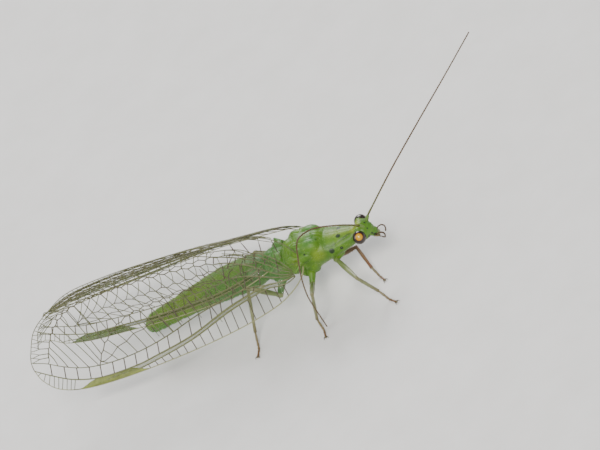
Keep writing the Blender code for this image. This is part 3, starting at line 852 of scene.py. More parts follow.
# Legs
# Thickness of the thigh, shin and toes
LEG_THICK = {
    "foreleg": (0.138, 0.092, 0.066), "midleg": (0.135, 0.090, 0.066), "hindleg": (0.142, 0.092, 0.066),
}
BROWN_LEGS = {"foreleg_left": 0.80, "midleg_right": 0.08}
PLAIN_BROWN = 0.05
TARSUS_JOINTS = (0.34, 0.18, 0.13, 0.11, 0.24)
FOOT_FLAT = 0.5
# A claw's line: onward, aside and up from the toe's end
CLAW = ((0.0, 0.035, 0.0), (0.07, 0.085, 0.030), (0.14, 0.115, 0.005), (0.155, 0.12, -0.045))
LEG_HAIR_THICK = 0.0038
# Hairs: how many, how long and where on the map
FEMUR_HAIRS = (130, 0.11, 0.10)
TIBIA_HAIRS = (170, 0.10, 0.30)
TOE_HAIRS = (26, 0.085, 0.50)


def limb(parts, start, end, sizes, shades, sides=18):
    """A straight limb whose sizes and shades are spread along it."""
    path, radii = spread([start, end], 22), spread(sizes, 22)
    tube(parts, path, radii, sides, spread(shades, 22))
    return path, radii


def cover(hair, path, radii, count, length, patch_row):
    """Hairs round a limb that lean toward its end."""
    way = unit(path[-1] - path[0])
    for number in range(count):
        share = (number + rng.random()) / count
        spot = share * (len(path) - 1)
        first = min(int(spot), len(path) - 2)
        point = path[first] + (path[first + 1] - path[first]) * (spot - first)
        around = square_to(way, rng.normal(0.0, 1.0, 3))
        lean = unit(around * 0.6 + way * 0.75)
        turn = math.atan2(around[2], around[1]) / (2 * math.pi) + 0.5
        patch = (0.02 + 0.96 * share, patch_row + 0.15 * turn)
        reach = lean * length * rng.uniform(0.6, 1.0)
        spike(hair, point + around * radii[first] * 0.85, reach, LEG_HAIR_THICK, -around, patch)


def make_leg(name, plan):
    thigh, shin, toe_size = LEG_THICK[name.split("_")[0]]
    hip, knee, ankle = (np.array(point) for point in plan[:3])
    toe = np.array((*plan[3], FLOOR + 0.05))
    brown = BROWN_LEGS.get(name, PLAIN_BROWN)
    parts, hair = Parts(), Parts()

    # A short knob between coxa and femur, then femur, knee and tibia with its two spurs
    way = unit(knee - hip)
    limb(parts, hip - way * 0.16, hip + way * 0.20, [0.09, 0.14, 0.155, 0.14, 0.11], [(brown, 0.0, 0.45)] * 2)
    sizes = [0.095, 0.125, thigh, thigh, thigh * 0.92, 0.105, 0.09]
    shades = [(brown, 0.0, 0.55), (brown, 0.0, 0.40), (brown, 0.0, 0.20), (brown, 0.10, 0.0)]
    cover(hair, *limb(parts, hip + way * 0.12, knee, sizes, shades), *FEMUR_HAIRS)
    bend = [knee - way * 0.08, knee, knee + way * 0.06]
    tube(parts, bend, [0.07, 0.100, 0.06], 14, (0.2 + brown, 0.05, 0.1))
    sizes = [0.082, shin * 0.92, shin, shin * 0.95, shin * 0.85, 0.085]
    shades = [
        (0.15 + brown, 0.0, 0.1), (brown, 0.0, 0.05), (0.05 + brown, 0.0, 0.0), (0.35 + brown, 0.05, 0.0),
    ]
    cover(hair, *limb(parts, knee, ankle, sizes, shades, 14), *TIBIA_HAIRS)
    down = unit(ankle - knee)
    for turn in (-1.0, 1.0):
        spur = np.cross(down, UP) * turn * 0.10 + down * 0.16
        spike(hair, ankle - down * 0.05, spur, 0.018, None, (0.9, 0.5))

    # Tarsus: five joints along the floor, the last one longer, with claws and a pad
    heel = toe + unit((ankle - toe) * (1.0, 1.0, 0.0)) * FOOT_FLAT
    heel[2] = FLOOR + 0.07
    route = even_points([ankle, ankle * 0.45 + heel * 0.55, heel, (heel + toe) / 2, toe], 80)
    cuts = np.concatenate([[0.0], np.cumsum(TARSUS_JOINTS)]) * 79
    for number, (first, last) in enumerate(zip(cuts, cuts[1:])):
        piece = route[int(first):int(round(last)) + 1]
        shares = np.linspace(0.0, 1.0, len(piece))
        sizes = toe_size * (0.70 + 0.34 * shares ** 0.8) * (1.0 - 0.04 * number)
        sizes[-1] *= 0.80
        shades = [(0.45 + 0.10 * number, 0.12 if share > 0.85 else 0.02, 0.0) for share in shares]
        tube(parts, piece, sizes, 12, shades)
        cover(hair, piece, sizes, *TOE_HAIRS)
        spike(hair, piece[-1] - UP * 0.035, (piece[-1] - piece[0]) * 0.25 - UP * 0.02, 0.012)
    onward = unit((toe - heel) * (1.0, 1.0, 0.0))
    for turn in (-1.0, 1.0):
        aside = np.cross(UP, onward) * turn
        claw = [toe + onward * along + aside * out + UP * rise for along, out, rise in CLAW]
        tube(parts, smooth_points(claw, 10), np.linspace(0.030, 0.005, 10), 8, (0.6, 0.8, 0.0))
    pad = [toe, toe + onward * 0.07, toe + onward * 0.12]
    tube(parts, pad, [0.04, 0.055, 0.02], 10, (0.4, 0.2, 0.0), flat=0.6)
    # Nothing goes below the floor
    for piece, low, rest in ((parts, FLOOR, FLOOR + 0.0005), (hair, FLOOR + 0.001, FLOOR + 0.001)):
        for point in piece.points:
            if point[2] < low:
                point[2] = rest
    parts.build(name + "_limb", LIMB, "leg_green", name)
    hair.build_hair(name + "_hair", DARK_HAIR, "leg_green")


for name, plan in LEGS.items():
    make_leg(name, plan)

# Wings
# Edges of the right forewing from the root to the tip, mirrored to the left side
FORE_FRONT = [
    (0.34, 1.02, 0.22), (0.12, 1.90, -0.16), (-0.90, 2.95, -0.30), (-2.80, 3.27, -0.63),
    (-5.20, 3.46, -0.86), (-7.80, 3.57, -0.98), (-10.40, 3.60, -1.03), (-12.60, 3.53, -0.93),
    (-14.00, 3.28, -0.64), (-14.75, 2.86, -0.14), (-15.05, 2.44, 0.36),
]
FORE_HIND = [
    (0.16, 0.84, 0.60), (-0.35, 0.52, 1.22), (-1.34, 0.20, 1.78), (-3.32, 0.06, 2.12), (-5.54, 0.05, 2.50),
    (-7.94, 0.05, 2.66), (-10.14, 0.05, 2.67), (-12.12, 0.12, 2.53), (-13.42, 0.48, 2.13),
    (-14.46, 1.10, 1.69), (-15.00, 1.94, 0.92),
]
# The left forewing's own edges lie a little lower
FORE_FRONT_LEFT = [
    (0.34, 1.02, 0.22), (0.12, 1.75, -0.22), (-0.85, 2.55, -0.62), (-2.75, 3.08, -0.85),
    (-5.20, 3.40, -0.92), (-7.80, 3.50, -1.05), (-10.40, 3.50, -1.12), (-12.60, 3.36, -1.10),
    (-14.00, 3.02, -0.95), (-14.75, 2.50, -0.56), (-15.05, 2.06, -0.10),
]
FORE_HIND_LEFT = [
    (0.16, 0.84, 0.60), (-0.35, 0.52, 1.22), (-1.34, 0.20, 1.78), (-3.32, 0.06, 2.12), (-5.54, 0.05, 2.45),
    (-7.94, 0.05, 2.55), (-10.14, 0.05, 2.50), (-12.12, 0.10, 2.25), (-13.42, 0.30, 1.70),
    (-14.46, 0.75, 0.95), (-14.98, 1.50, 0.35),
]
# Lines below are places as the camera sees them: x along the body, then millimetres down the roof
HIND_FRONT = [
    (-2.20, 2.72), (-4.00, 3.00), (-6.00, 3.06), (-8.00, 3.00), (-9.96, 2.88), (-11.40, 2.76),
    (-12.80, 2.42), (-13.80, 1.95), (-14.45, 1.36),
]
HIND_HIND = [
    (-2.00, 0.95), (-3.50, 0.42), (-5.50, 0.20), (-8.00, 0.14), (-10.00, 0.17), (-11.80, 0.32),
    (-13.20, 0.66), (-14.05, 0.96), (-14.45, 1.24),
]
HIND_HINGE = ((-1.12, 0.90, 0.32), (-1.40, 0.78, 0.42))
HIND_DROP = {"left": 0.16, "right": 0.42}
FORE_LINES = {
    "subcosta": [
        (0.15, 3.14), (-0.30, 3.30), (-0.90, 3.31), (-1.66, 3.27), (-3.77, 3.67), (-6.20, 4.38),
        (-8.60, 4.79), (-10.20, 4.95), (-11.60, 4.96), (-12.70, 4.90), (-13.35, 4.84),
    ],
    "radius": [
        (0.15, 3.08), (-0.30, 3.14), (-0.90, 3.13), (-1.66, 3.09), (-3.77, 3.49), (-6.20, 4.20),
        (-8.60, 4.58), (-9.60, 4.69), (-11.20, 4.70), (-12.20, 4.58), (-13.30, 4.25), (-14.20, 3.78),
        (-14.80, 3.42), (-15.04, 3.27),
    ],
    "sector": [
        (-1.40, 3.10), (-2.20, 2.93), (-3.28, 2.96), (-5.45, 3.30), (-7.20, 3.74), (-8.60, 4.00),
        (-10.00, 4.12), (-11.40, 4.08), (-12.60, 3.86), (-13.60, 3.46), (-14.30, 3.10), (-15.00, 2.86),
    ],
    "media": [
        (0.12, 3.02), (-0.50, 2.96), (-1.30, 2.70), (-2.20, 2.36), (-3.60, 2.06), (-5.40, 1.98),
        (-7.20, 2.00), (-8.60, 2.08), (-9.60, 2.32), (-10.40, 2.76), (-11.00, 3.30), (-11.52, 4.07),
    ],
    "cubitus": [
        (0.12, 2.96), (-0.50, 2.84), (-1.20, 2.42), (-2.20, 1.76), (-3.60, 1.22), (-5.40, 0.92),
        (-7.20, 0.76), (-9.00, 0.70), (-10.60, 0.68), (-11.66, 0.76), (-12.69, 1.10), (-13.45, 1.72),
        (-13.85, 2.35), (-14.15, 3.02),
    ],
    "anal": [
        (0.10, 2.90), (-0.45, 2.62), (-1.10, 2.10), (-2.00, 1.52), (-3.00, 1.10), (-3.90, 0.78),
        (-4.70, 0.46),
    ],
    "anal_second": [
        (0.10, 2.84), (-0.40, 2.42), (-0.90, 1.95), (-1.60, 1.48), (-2.40, 1.14), (-3.20, 0.84),
    ],
    "anal_third": [
        (0.08, 2.78), (-0.35, 2.24), (-0.80, 1.80), (-1.40, 1.42), (-1.90, 1.22),
    ],
}
HIND_LINES = {
    "subcosta": [
        (-1.35, 2.20), (-2.20, 2.52), (-4.00, 2.80), (-6.00, 2.86), (-8.00, 2.80), (-9.96, 2.66),
        (-11.40, 2.56), (-12.40, 2.42), (-13.00, 2.34),
    ],
    "radius": [
        (-1.35, 2.08), (-2.20, 2.38), (-4.00, 2.66), (-6.00, 2.71), (-8.00, 2.65), (-9.96, 2.51),
        (-11.40, 2.40), (-12.60, 2.08), (-13.60, 1.72), (-14.35, 1.36),
    ],
    "sector": [
        (-1.60, 2.12), (-2.60, 2.10), (-4.00, 2.24), (-6.00, 2.28), (-8.00, 2.22), (-10.00, 2.08),
        (-11.60, 1.92), (-12.80, 1.60), (-13.80, 1.34), (-14.42, 1.28),
    ],
    "media": [
        (-1.50, 1.90), (-2.60, 1.62), (-4.00, 1.52), (-6.00, 1.48), (-8.00, 1.44), (-10.00, 1.42),
        (-11.20, 1.52), (-12.20, 1.77),
    ],
    "cubitus": [
        (-1.50, 1.70), (-2.60, 1.12), (-4.00, 0.84), (-6.00, 0.70), (-8.00, 0.64), (-10.00, 0.64),
        (-11.60, 0.76), (-12.80, 0.98), (-13.50, 1.18),
    ],
    "anal": [
        (-1.55, 1.55), (-2.40, 0.95), (-3.20, 0.66), (-4.20, 0.36),
    ],
    "anal_second": [
        (-1.50, 1.30), (-2.00, 1.06), (-2.50, 0.80),
    ],
}
# Each kind of vein: its radius and its dark share, each one value or a few along it
KINDS = {
    "front": (0.032, 0.0), "margin": (0.022, 0.25), "subcosta": ([0.028, 0.044, 0.034, 0.024], 0.06),
    "radius": ([0.036, 0.056, 0.044, 0.036, 0.026], 0.05), "sector": ([0.038, 0.030, 0.022], 0.14),
    "anal": ([0.022, 0.030, 0.022], 0.14), "stem": ([0.024, 0.036, 0.028], 0.12), "zigzag": (0.026, 0.6),
    "branch": (0.023, [0.50, 0.12, 0.12, 0.55]), "branch_dark": (0.023, [0.70, 0.25, 0.10, 0.40]),
    "stalk": (0.022, [0.50, 0.2]), "fork": ([0.020, 0.015], [0.20, 0.30]), "rung": (0.021, [0.65, 0.55]),
    "radial": (0.030, [0.95, 0.88, 0.80]), "costal": (0.025, [0.95, 0.85, 0.85]),
    "apical": (0.018, [0.35, 0.20]), "root": (0.029, [0.9, 0.8]), "dash": ([0.018, 0.028, 0.018], 1.0),
    "thread": (0.015, 0.2),
}
# Steps along a wing's edge, the grid that finds a place on it, and the rounds that refine one
EDGE_STEPS = 400
FIND_GRID = (111, 31)
FIND_ROUNDS = 6
WING_LENGTH = 15.5
ROOT_SKIP = 7
DASH_REACH = 0.35
SEEN_SHIFT = 0.17
LEFT_THIN = 0.82
ZIGZAG_SIZE = 0.05
WING_HAIR_THICK = 0.0036
FRINGE_THICK = 0.0038
# How far a wing bellies out, and the height of the folds along it
FORE_SWELL = (0.12, 0.016)
HIND_SWELL = (0.05, 0.010)
MEMBRANE_THICK = 0.020
MEMBRANE_GRID = (150, 40)
STRIP_ROWS = 5
# Columns of a strip, and the share of its length over which each end narrows
STIGMA_SHAPE = (40, 0.30)
BAND_SHAPE = (70, 0.12)
# Half thickness of a strip at its edges and between them, and the roof's slope
STRIP_THICK = np.array((0.020, 0.026, 0.026, 0.026, 0.020))
ROOF_NORMAL = np.array((0.0, 0.766, 0.643))
# Millimetres in the photograph's plane, from a place on the right wing
PLANE_X, PLANE_Y = np.array((17.4, 1.24, -9.7)), np.array((-6.2, -13.9, -12.9))
PLANE_START = (202.0, -30.1)
PLANE_AREA = 368.0


def seen_place(points):
    """x along the body and millimetres down the roof, as the camera sees right-wing points."""
    right, down = points @ PLANE_X + PLANE_START[0], points @ PLANE_Y + PLANE_START[1]
    along, over = (18.8 * right - 6.6 * down) / PLANE_AREA, (17.4 * down + 6.2 * right) / PLANE_AREA
    return np.stack([along - 10.0, over], axis=-1)


class Wing:
    """A wing's curved middle surface, held for the left side and mirrored for the right."""

    def __init__(self, front, hind, belly, waves, pattern=None):
        self.edges = np.stack([smooth_points(edge, EDGE_STEPS + 1) for edge in (front, hind)])
        self.belly, self.waves, self.pattern = belly, waves, pattern or self
        grid = np.meshgrid(*(np.linspace(0.0, 1.0, count) for count in FIND_GRID), indexing="ij")
        self.grid = np.stack(grid, axis=-1).reshape(-1, 2)
        self.seen = self.seen_at(*self.grid.T)

    def at(self, share, across):
        """Points of the left wing's middle surface."""
        spot = np.clip(share, 0.0, 1.0) * EDGE_STEPS
        first = np.minimum(spot.astype(int), EDGE_STEPS - 1)
        part = (spot - first)[:, None]
        front, hind = self.edges[:, first] * (1 - part) + self.edges[:, first + 1] * part
        span = hind - front
        out = facing_up(np.stack([np.zeros(len(span)), -span[:, 2], span[:, 1]], axis=1))
        fade = np.sin(np.pi * np.clip(share, 0.02, 0.98)) ** 0.5
        lift = (self.belly + self.waves * fade * np.sin(np.pi * across * 9.0)) * np.sin(np.pi * across)
        return front + span * across[:, None] + out * lift[:, None]

    def normals(self, share, across, reach, low=0.0, high=1.0):
        """Unit normals from the points a little way off along and across."""
        along_way = self.at(share + reach, across) - self.at(share - reach, across)
        above, below = np.clip(across + 0.01, low, high), np.clip(across - 0.01, low, high)
        return facing_up(np.cross(along_way, self.at(share, above) - self.at(share, below)))

    def seen_at(self, share, across):
        """Places on the wing's pattern, as the camera sees them."""
        return seen_place(self.pattern.at(share, across) * MIRROR)

    def find(self, places):
        """The shares along and across of places as the camera sees them."""
        places = np.atleast_2d(np.asarray(places, float))
        misses = np.sum((self.seen[None, :, :] - places[:, None, :]) ** 2, axis=2)
        found = self.grid[np.argmin(misses, axis=1)].copy()
        tiny = 1e-3
        for _ in range(FIND_ROUNDS):
            share, across = found.T
            here = self.seen_at(share, across)
            ds = (self.seen_at(share + tiny, across) - here).T / tiny
            da = (self.seen_at(share, across + tiny) - here).T / tiny
            miss = (places - here).T
            flat = ds[0] * da[1] - ds[1] * da[0]
            flat = np.where(np.abs(flat) < 1e-6, 1e-6, flat)
            share = share + np.clip((miss[0] * da[1] - miss[1] * da[0]) / flat, -0.03, 0.03)
            across = across + np.clip((ds[0] * miss[1] - ds[1] * miss[0]) / flat, -0.05, 0.05)
            found = np.clip(np.stack([share, across], axis=1), 0.0, 0.999)
        return found

    def place(self, places):
        return self.at(*self.find(places).T)


def facing_up(ways):
    """The ways with length 1, turned over where they point down."""
    ways = ways / (np.linalg.norm(ways, axis=1)[:, None] + 1e-9)
    return np.where(ways[:, 2:] < 0, -ways, ways)


def hind_edges(fore, drop):
    """The hindwing's edges, laid inside the forewing's roof."""
    edges = []
    for line, hinge in zip((HIND_FRONT, HIND_HIND), HIND_HINGE):
        share, across = fore.find(np.array(line) - (SEEN_SHIFT, 0.0)).T
        inner = fore.at(share, across) - fore.normals(share, across, 0.01, -1.0, 2.0) * drop
        inner[:, 1] = np.maximum(inner[:, 1], 0.04)
        edges.append([hinge, *inner])
    return edges


def along_line(line, share):
    """A place at an even share of a line's length."""
    fine = smooth_points(line, 240)
    reach = reach_along(fine)
    return np.array([np.interp(share * reach[-1], reach, column) for column in fine.T])


def line_at_x(line, x):
    fine = smooth_points(line, 240)[::-1]
    return np.array((x, np.interp(x, *fine.T)))


def front_at_x(wing, x):
    seen = wing.seen_at(np.linspace(0.0, 1.0, 300), np.zeros(300))
    return seen[np.argmin(np.abs(seen[:, 0] - x))]


def edge_line(wing, start, end, count=60):
    """Places along the hind edge from one share of the length to the tip, then up the tip."""
    hind = wing.seen_at(np.linspace(start, 1.0, count), np.ones(count))
    tip = wing.seen_at(np.ones(7), np.linspace(1.0, 1.0 - end, 8)[1:])
    return np.concatenate([hind, tip])


def zigzag(line, shares):
    """Nodes beside a line, the places between them on its other side, and the route through both."""
    nodes = [along_line(line, share) + (0.0, ZIGZAG_SIZE) for share in shares]
    betweens = [along_line(line, (a + b) / 2) - (0.0, ZIGZAG_SIZE) for a, b in zip(shares, shares[1:])]
    route = [nodes[0]]
    for pair in zip(betweens, nodes[1:]):
        route.extend(pair)
    return nodes, betweens, route


class Veins:
    """Draws a wing's veins as tubes on its surface, for one side."""

    def __init__(self, wing, mirror, thick):
        self.wing, self.mirror, self.thick = wing, mirror, thick
        self.parts, self.hair = Parts(), Parts()

    def tube_on(self, points, kind, taper=1.0, yellow=0.0, sides=6, dark=None):
        """A vein through points. A dark share that is given takes the place of the kind's own."""
        radius, usual = KINDS[kind]
        radii = spread(radius, len(points)) * taper * self.thick
        marks = [(share, yellow, 0.0) for share in spread(usual if dark is None else dark, len(points))]
        tube(self.parts, points * self.mirror, radii, sides, marks)

    def draw(self, places, kind, gap=0.16, hairs=True, straight=False, **looks):
        """A vein through places as the camera sees them, on a smooth or a straight route."""
        count = max(4, int(reach_along(places)[-1] / gap) + 1)
        places = spread(places, count) if straight else even_points(places, count)
        points = self.wing.place(places)
        self.tube_on(points, kind, **looks)
        if hairs:
            self.hairs_on(points)

    def cross(self, start, end, kind):
        """A straight vein between two places."""
        self.draw([start, end], kind, straight=True)

    def add_hair(self, root, reach, thick):
        patch = (0.04 + 0.92 * (-root[0]) / WING_LENGTH, 0.30 + 0.08 * root[2])
        spike(self.hair, root, reach, thick, None, patch)

    def hairs_on(self, points, gap=0.16, length=0.085):
        """Hairs on top of a vein that lean toward its end."""
        points = points * self.mirror
        reach = reach_along(points)
        spot = gap * 0.5
        while spot < reach[-1]:
            index = min(int(np.searchsorted(reach, spot)), len(points) - 1)
            before = max(index - 1, 0)
            way = unit(points[index] - points[before])
            around = square_to(way, (0.0, 0.62, 0.78) * self.mirror + rng.normal(0.0, 0.45, 3))
            lean = (around * 0.75 + way * 0.55) * length * rng.uniform(0.6, 1.1)
            self.add_hair((points[before] + points[index]) / 2, lean, WING_HAIR_THICK)
            spot += gap * rng.uniform(0.8, 1.25)

    def fringe(self, points):
        """Short hairs that stand out round the edge."""
        points = points * self.mirror
        middle, reach = points.mean(axis=0), reach_along(points)
        for spot in np.arange(0.05, reach[-1], 0.075):
            index = max(1, min(int(np.searchsorted(reach, spot)), len(points) - 1))
            way = unit(points[index] - points[index - 1])
            root = points[index - 1] + way * (spot - reach[index - 1])
            lean = square_to(way, root - middle) * 0.8 + way * 0.45 + rng.normal(0.0, 0.1, 3)
            self.add_hair(root, lean * rng.uniform(0.07, 0.12), FRINGE_THICK)


def draw_margin(veins, wing):
    """The wing's edge: along the front, round the tip and back along the hind margin."""
    shares = np.linspace(0.0, 1.0, 150)
    front = wing.at(shares, np.zeros(150))[ROOT_SKIP:]
    tip = wing.at(np.ones(5), np.linspace(0.0, 1.0, 7)[1:-1])
    hind = wing.at(shares[::-1], np.ones(150))
    taper = np.linspace(1.0, 0.55, 150)[ROOT_SKIP:]
    veins.tube_on(front, "front", taper, 0.9, 8)
    veins.tube_on(np.concatenate([front[-1:], tip, hind]), "margin")
    veins.hairs_on(front, 0.085, 0.10)
    veins.fringe(np.concatenate([front[60:], tip, hind]))


def draw_branches(veins, wing, lines, plan):
    """Branches from the sector, through two zigzag lines, to forks at the margin."""
    count, inner = plan["branches"], plan["inner_branches"]
    margin = edge_line(wing, *plan["margin"])
    crowd = 1.0 - (1.0 - np.linspace(0.0, 1.0, count)) ** plan["crowding"]
    tops = np.linspace(*plan["sector_span"], count)
    low, high = plan["margin_span"]
    margin_shares = low + (high - low) * crowd
    low, high = plan["cubitus_span"]
    runs = {"media": np.linspace(*plan["media_span"], inner), "cubitus": low + (high - low) * crowd}
    zigzags = {name: zigzag(lines[name], shares) for name, shares in runs.items()}
    for name, shares in runs.items():
        stem = [along_line(lines[name], share) for share in np.linspace(0.0, shares[0], 9)][:-1]
        veins.draw([*stem, zigzags[name][0][0]], "stem")
    media_nodes, media_mids, route = zigzags["media"]
    media_end = route[-1]
    veins.draw(route, "zigzag", 0.12, straight=True, dark=0.25 + 0.5 * rng.random(len(route)))
    veins.cross(media_end, along_line(lines["media"], 1.0), "zigzag")
    cubitus_nodes, cubitus_mids, route = zigzags["cubitus"]
    veins.draw(route, "zigzag", 0.12, straight=True, dark=0.30 + 0.5 * rng.random(len(route)))
    rungs = []
    for number in range(count):
        start = along_line(lines["sector"], tops[number])
        kind = "branch_dark" if number % 2 else "branch"
        if number < inner:
            knee = media_nodes[number]
            veins.draw([start, (start + knee) / 2 + (0.06, 0.03), knee], kind)
            rung = start * (1.0 - plan["rung"]) + knee * plan["rung"]
            rungs.append(rung + (0.04, 0.05 * (-1) ** number))
            start = [*media_mids, knee][number]
        end = cubitus_nodes[number]
        veins.draw([start, (start + end) / 2 + (0.05, 0.03), end], kind)
        start = [*cubitus_mids, end][number]
        before, after = margin_shares[max(number - 1, 0)], margin_shares[min(number + 1, count - 1)]
        apart = max((after - before) / 8.0, 0.009)
        goals = [along_line(margin, min(margin_shares[number] + turn * apart, 0.998)) for turn in (-1.0, 1.0)]
        aim = (goals[0] + goals[1]) / 2
        fork = (start + aim) / 2
        veins.cross(start, fork, "stalk")
        for goal in goals:
            bow = fork * 0.45 + goal * 0.55 + (goal - aim) * 0.15
            veins.draw([fork, bow, goal], "fork", sides=5)
    rungs = [*rungs, media_end][plan["rungs_from"]:]
    for first, second in zip(rungs, rungs[1:]):
        veins.cross(first, second, "rung")


def draw_crossveins(veins, wing, lines, plan):
    """Crossveins of the front and the root, and short forks round the front of the tip."""
    x, last, gap = plan["radial"]
    while x > last:
        veins.cross(line_at_x(lines["radius"], x), line_at_x(lines["sector"], x + 0.10), "radial")
        x -= gap * rng.uniform(0.92, 1.08)
    x, last, gap, outer_gap = plan["costal"]
    while x > last:
        veins.cross(line_at_x(lines["subcosta"], x), front_at_x(wing, x + 0.10), "costal")
        x -= (gap + (outer_gap - gap) * step(-x, 5.0, 8.0)) * rng.uniform(0.93, 1.07)
    for x in np.arange(*plan["apical"]):
        veins.cross(line_at_x(lines["radius"], x), front_at_x(wing, x - plan["apical_lean"]), "apical")
    for first, second, places in plan["root"]:
        for x in places:
            veins.cross(line_at_x(lines[first], x), line_at_x(lines[second], x + 0.12), "root")


def draw_dashes(veins, dashes):
    """Dark dashes near the root, each on a thin vein that reaches a little further."""
    veins.thick = 1.0
    for dash in dashes:
        veins.draw(dash, "dash", 0.08)
        start, end = np.array(dash[0]), np.array(dash[-1])
        reach = (end - start) * min(DASH_REACH / np.linalg.norm(end - start), 1.0)
        veins.draw([start - reach, start], "thread", hairs=False)
        veins.draw([end, end + reach], "thread", hairs=False)


def draw_veins(wing, lines, mirror, plan):
    """All the veins of one wing."""
    veins = Veins(wing, mirror, plan["thick"] * (LEFT_THIN if mirror[1] > 0 else 1.0))
    draw_margin(veins, wing)
    veins.draw(lines["subcosta"], "subcosta", yellow=0.10)
    veins.draw(lines["radius"], "radius", yellow=0.10, sides=8)
    veins.draw(lines["sector"], "sector")
    for name in lines:
        if name.startswith("anal"):
            veins.draw(lines[name], "anal")
    draw_branches(veins, wing, lines, plan)
    draw_crossveins(veins, wing, lines, plan)
    draw_dashes(veins, plan["dashes"])
    return veins


def sheet(middle, lift, columns, rows):
    """A closed thin sheet with its faces turned outward, from a grid of middle points."""
    half = len(middle)
    faces = []
    for start in range(0, (columns - 1) * rows, rows):
        for a in range(start, start + rows - 1):
            faces.append((a, a + rows, a + rows + 1, a + 1))
            faces.append((half + a, half + a + 1, half + a + rows + 1, half + a + rows))
    rim = [*range(0, half, rows), *range(half - rows + 1, half), *range(half - rows - 1, 0, -rows)]
    rim += range(rows - 2, 0, -1)
    for a, b in zip(rim, rim[1:] + rim[:1]):
        faces.append((a, half + a, half + b, b))
    bm = bmesh.new()
    made = [bm.verts.new(point) for point in np.concatenate([middle + lift, middle - lift])]
    for face in faces:
        bm.faces.new([made[index] for index in face])
    bmesh.ops.recalc_face_normals(bm, faces=bm.faces)
    return finish_mesh(bm, "sheet")


def strip_mesh(wing, line, other, x_from, x_to, mirror, columns, ends):
    """A tinted strip between two veins, or between a vein and the front edge."""
    places = []
    for share in np.linspace(0.0, 1.0, columns):
        x = x_from + (x_to - x_from) * share
        outer = line_at_x(other, x) if other else front_at_x(wing, x)
        narrow = step(min(share, 1.0 - share), -0.02, ends)
        for across in np.linspace(0.0, 1.0, STRIP_ROWS):
            places.append(outer + (line_at_x(line, x) - outer) * across * narrow)
    lift = np.outer(np.tile(STRIP_THICK, columns), ROOF_NORMAL * mirror)
    return sheet(wing.place(places) * mirror, lift, columns, STRIP_ROWS)


def membrane_mesh(wing, mirror):
    """A wing's clear skin, on its middle surface."""
    columns, rows = MEMBRANE_GRID
    shares = np.repeat(np.linspace(0.0, 1.0, columns), rows)
    acrosses = np.tile(np.linspace(0.0, 1.0, rows), columns)
    lift = wing.normals(shares, acrosses, 0.004) * MEMBRANE_THICK / 2
    return sheet(wing.at(shares, acrosses) * mirror, lift * mirror, columns, rows)


FORE_PLAN = {
    "thick": 1.0, "branches": 22, "inner_branches": 16, "margin": (0.27, 0.85), "crowding": 1.30,
    "rung": 0.52, "rungs_from": 3,
    "sector_span": (0.09, 0.94), "media_span": (0.27, 0.98), "cubitus_span": (0.28, 0.985),
    "margin_span": (0.10, 0.97),
    "radial": (-2.25, -14.3, 0.66), "costal": (-0.62, -12.6, 0.53, 0.43),
    "root": [
        ("media", "cubitus", (-1.7, -2.6, -3.5)), ("cubitus", "anal", (-1.7, -2.7, -3.8)),
        ("anal", "anal_second", (-1.2, -2.1, -2.9)), ("anal_second", "anal_third", (-1.0, -1.6)),
        ("sector", "media", (-1.8, -2.6)),
    ],
    "stigma": (-8.9, -13.0), "band": (-0.20, -12.0), "apical": (-13.05, -14.75, -0.21), "apical_lean": 0.22,
    "dashes": [
        [(-0.42, 1.10), (-0.31, 1.69)], [(-1.11, 0.92), (-1.14, 1.42)], [(-2.01, 0.67), (-1.78, 1.21)],
        [(-2.63, 0.56), (-2.48, 1.03)], [(-0.53, 1.83), (-0.61, 2.61)], [(-1.57, 1.53), (-1.80, 1.86)],
        [(-2.20, 1.48), (-2.42, 1.76), (-2.43, 2.21)], [(-2.76, 1.19), (-3.19, 1.60)],
        [(-2.91, 1.75), (-3.19, 1.91), (-3.34, 2.37)], [(-3.23, 2.60), (-3.34, 2.91)],
        [(-4.51, 2.34), (-4.43, 2.67)], [(-4.78, 2.83), (-4.49, 3.73)], [(-5.47, 1.81), (-5.39, 2.10)],
        [(-4.56, 1.42), (-4.50, 1.65)], [(-5.87, 2.15), (-5.49, 3.18)], [(-6.97, 1.93), (-6.56, 3.09)],
        [(-7.49, 2.90), (-7.26, 3.40)], [(-8.13, 3.11), (-8.01, 3.40)],
    ],
    "stigma_finish": FORE_STIGMA,
}
HIND_PLAN = {
    "thick": 0.82, "branches": 19, "inner_branches": 14, "margin": (0.16, 0.80), "crowding": 1.25,
    "rung": 0.50, "rungs_from": 2, "dashes": [],
    "sector_span": (0.08, 0.94), "media_span": (0.16, 0.98), "cubitus_span": (0.18, 0.98),
    "margin_span": (0.08, 0.96),
    "radial": (-2.4, -13.6, 0.62), "costal": (-2.2, -8.8, 0.50, 0.44),
    "root": [("media", "cubitus", (-2.2, -3.1)), ("cubitus", "anal", (-2.2, -3.1))],
    "stigma": (-8.7, -12.7), "band": (-1.60, -11.5), "apical": (-12.6, -14.1, -0.24), "apical_lean": 0.15,
    "stigma_finish": HIND_STIGMA,
}
FORE = Wing(FORE_FRONT, FORE_HIND, *FORE_SWELL)
HIND = Wing(*hind_edges(FORE, HIND_DROP["right"]), *HIND_SWELL)
FORE_LEFT = Wing(FORE_FRONT_LEFT, FORE_HIND_LEFT, *FORE_SWELL, FORE)
HIND_LEFT = Wing(*hind_edges(FORE_LEFT, HIND_DROP["left"]), *HIND_SWELL, HIND)
WINGS = [
    ("forewing_left", FORE_LEFT, FORE_LINES, FORE_PLAN), ("hindwing_left", HIND_LEFT, HIND_LINES, HIND_PLAN),
    ("forewing_right", FORE, FORE_LINES, FORE_PLAN), ("hindwing_right", HIND, HIND_LINES, HIND_PLAN),
]

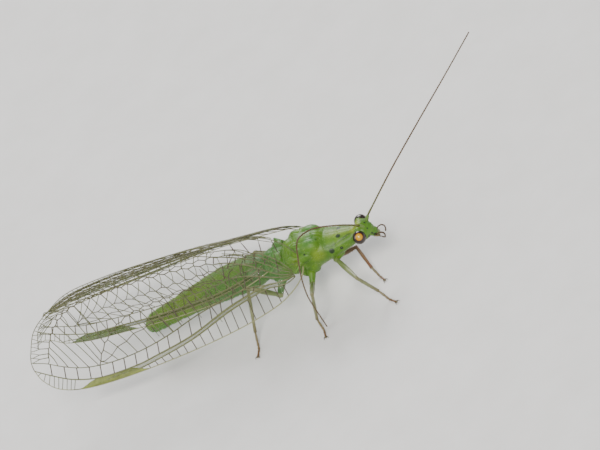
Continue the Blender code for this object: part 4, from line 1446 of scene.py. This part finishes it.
for name, wing, lines, plan in WINGS:
    mirror = SIDES[name.split("_")[1]]
    radius = lines["radius"]
    finish_piece(name + "_membrane", membrane_mesh(wing, mirror), None, MEMBRANE, "wing_membrane", name)
    veins = draw_veins(wing, lines, mirror, plan)
    veins.parts.build(name + "_veins", VEIN, "wing_membrane")
    veins.hair.build_hair(name + "_hair", DARK_HAIR, "wing_membrane")
    mesh = strip_mesh(wing, radius, None, *plan["stigma"], mirror, *STIGMA_SHAPE)
    finish_piece(name + "_stigma", mesh, None, plan["stigma_finish"], "wing_membrane")
    mesh = strip_mesh(wing, radius, lines["subcosta"], *plan["band"], mirror, *BAND_SHAPE)
    finish_piece(name + "_band", mesh, None, VEIN_BAND, "wing_membrane")


# Stage
def add_light(name, place, size, power, colour):
    """A round light that looks at the insect."""
    light = bpy.data.lights.new(name, "AREA")
    light.shape = "DISK"
    light.size = size
    light.energy = power
    light.color = colour
    lamp = add_object(name, light)
    lamp.location = place
    lamp.rotation_euler = (ORIGIN - Vector(place)).to_track_quat("-Z", "Y").to_euler()


def make_stage():
    bm = bmesh.new()
    bmesh.ops.create_grid(bm, x_segments=8, y_segments=8, size=1.6)
    floor = add_object("floor", finish_mesh(bm, "floor"))
    floor.data.materials.append(floor_material())
    world = bpy.data.worlds.new("studio")
    world.use_nodes = True
    back = world.node_tree.nodes["Background"]
    back.inputs["Color"].default_value = (0.93, 0.95, 1.0, 1.0)
    back.inputs["Strength"].default_value = 0.45
    bpy.context.scene.world = world
    add_light("key", (0.10, -0.26, 0.34), 0.16, 1.9, (1.0, 0.97, 0.92))
    add_light("fill", (-0.32, -0.10, 0.22), 0.30, 0.7, (0.92, 0.96, 1.0))
    add_light("rim", (-0.05, 0.30, 0.20), 0.18, 1.2, (1.0, 1.0, 1.0))


def make_camera():
    swing, height, roll = VIEW_SWING, VIEW_HEIGHT, VIEW_ROLL
    right = Vector((math.cos(swing), math.sin(swing), 0.0))
    up = CAMERA_WAY.cross(right)
    turned_right = right * math.cos(roll) - up * math.sin(roll)
    turned_up = right * math.sin(roll) + up * math.cos(roll)
    target = ORIGIN + turned_up * VIEW_RAISE * MM
    lens = bpy.data.cameras.new("camera")
    lens.lens = VIEW_LENS
    lens.sensor_width = 36.0
    lens.clip_start = 0.01
    lens.clip_end = 10.0
    camera = add_object("camera", lens)
    turn = Matrix((turned_right, turned_up, CAMERA_WAY)).transposed().to_4x4()
    camera.matrix_world = Matrix.Translation(target + CAMERA_WAY * VIEW_DISTANCE) @ turn
    bpy.context.scene.camera = camera


make_stage()
make_camera()

bpy.context.view_layer.update()
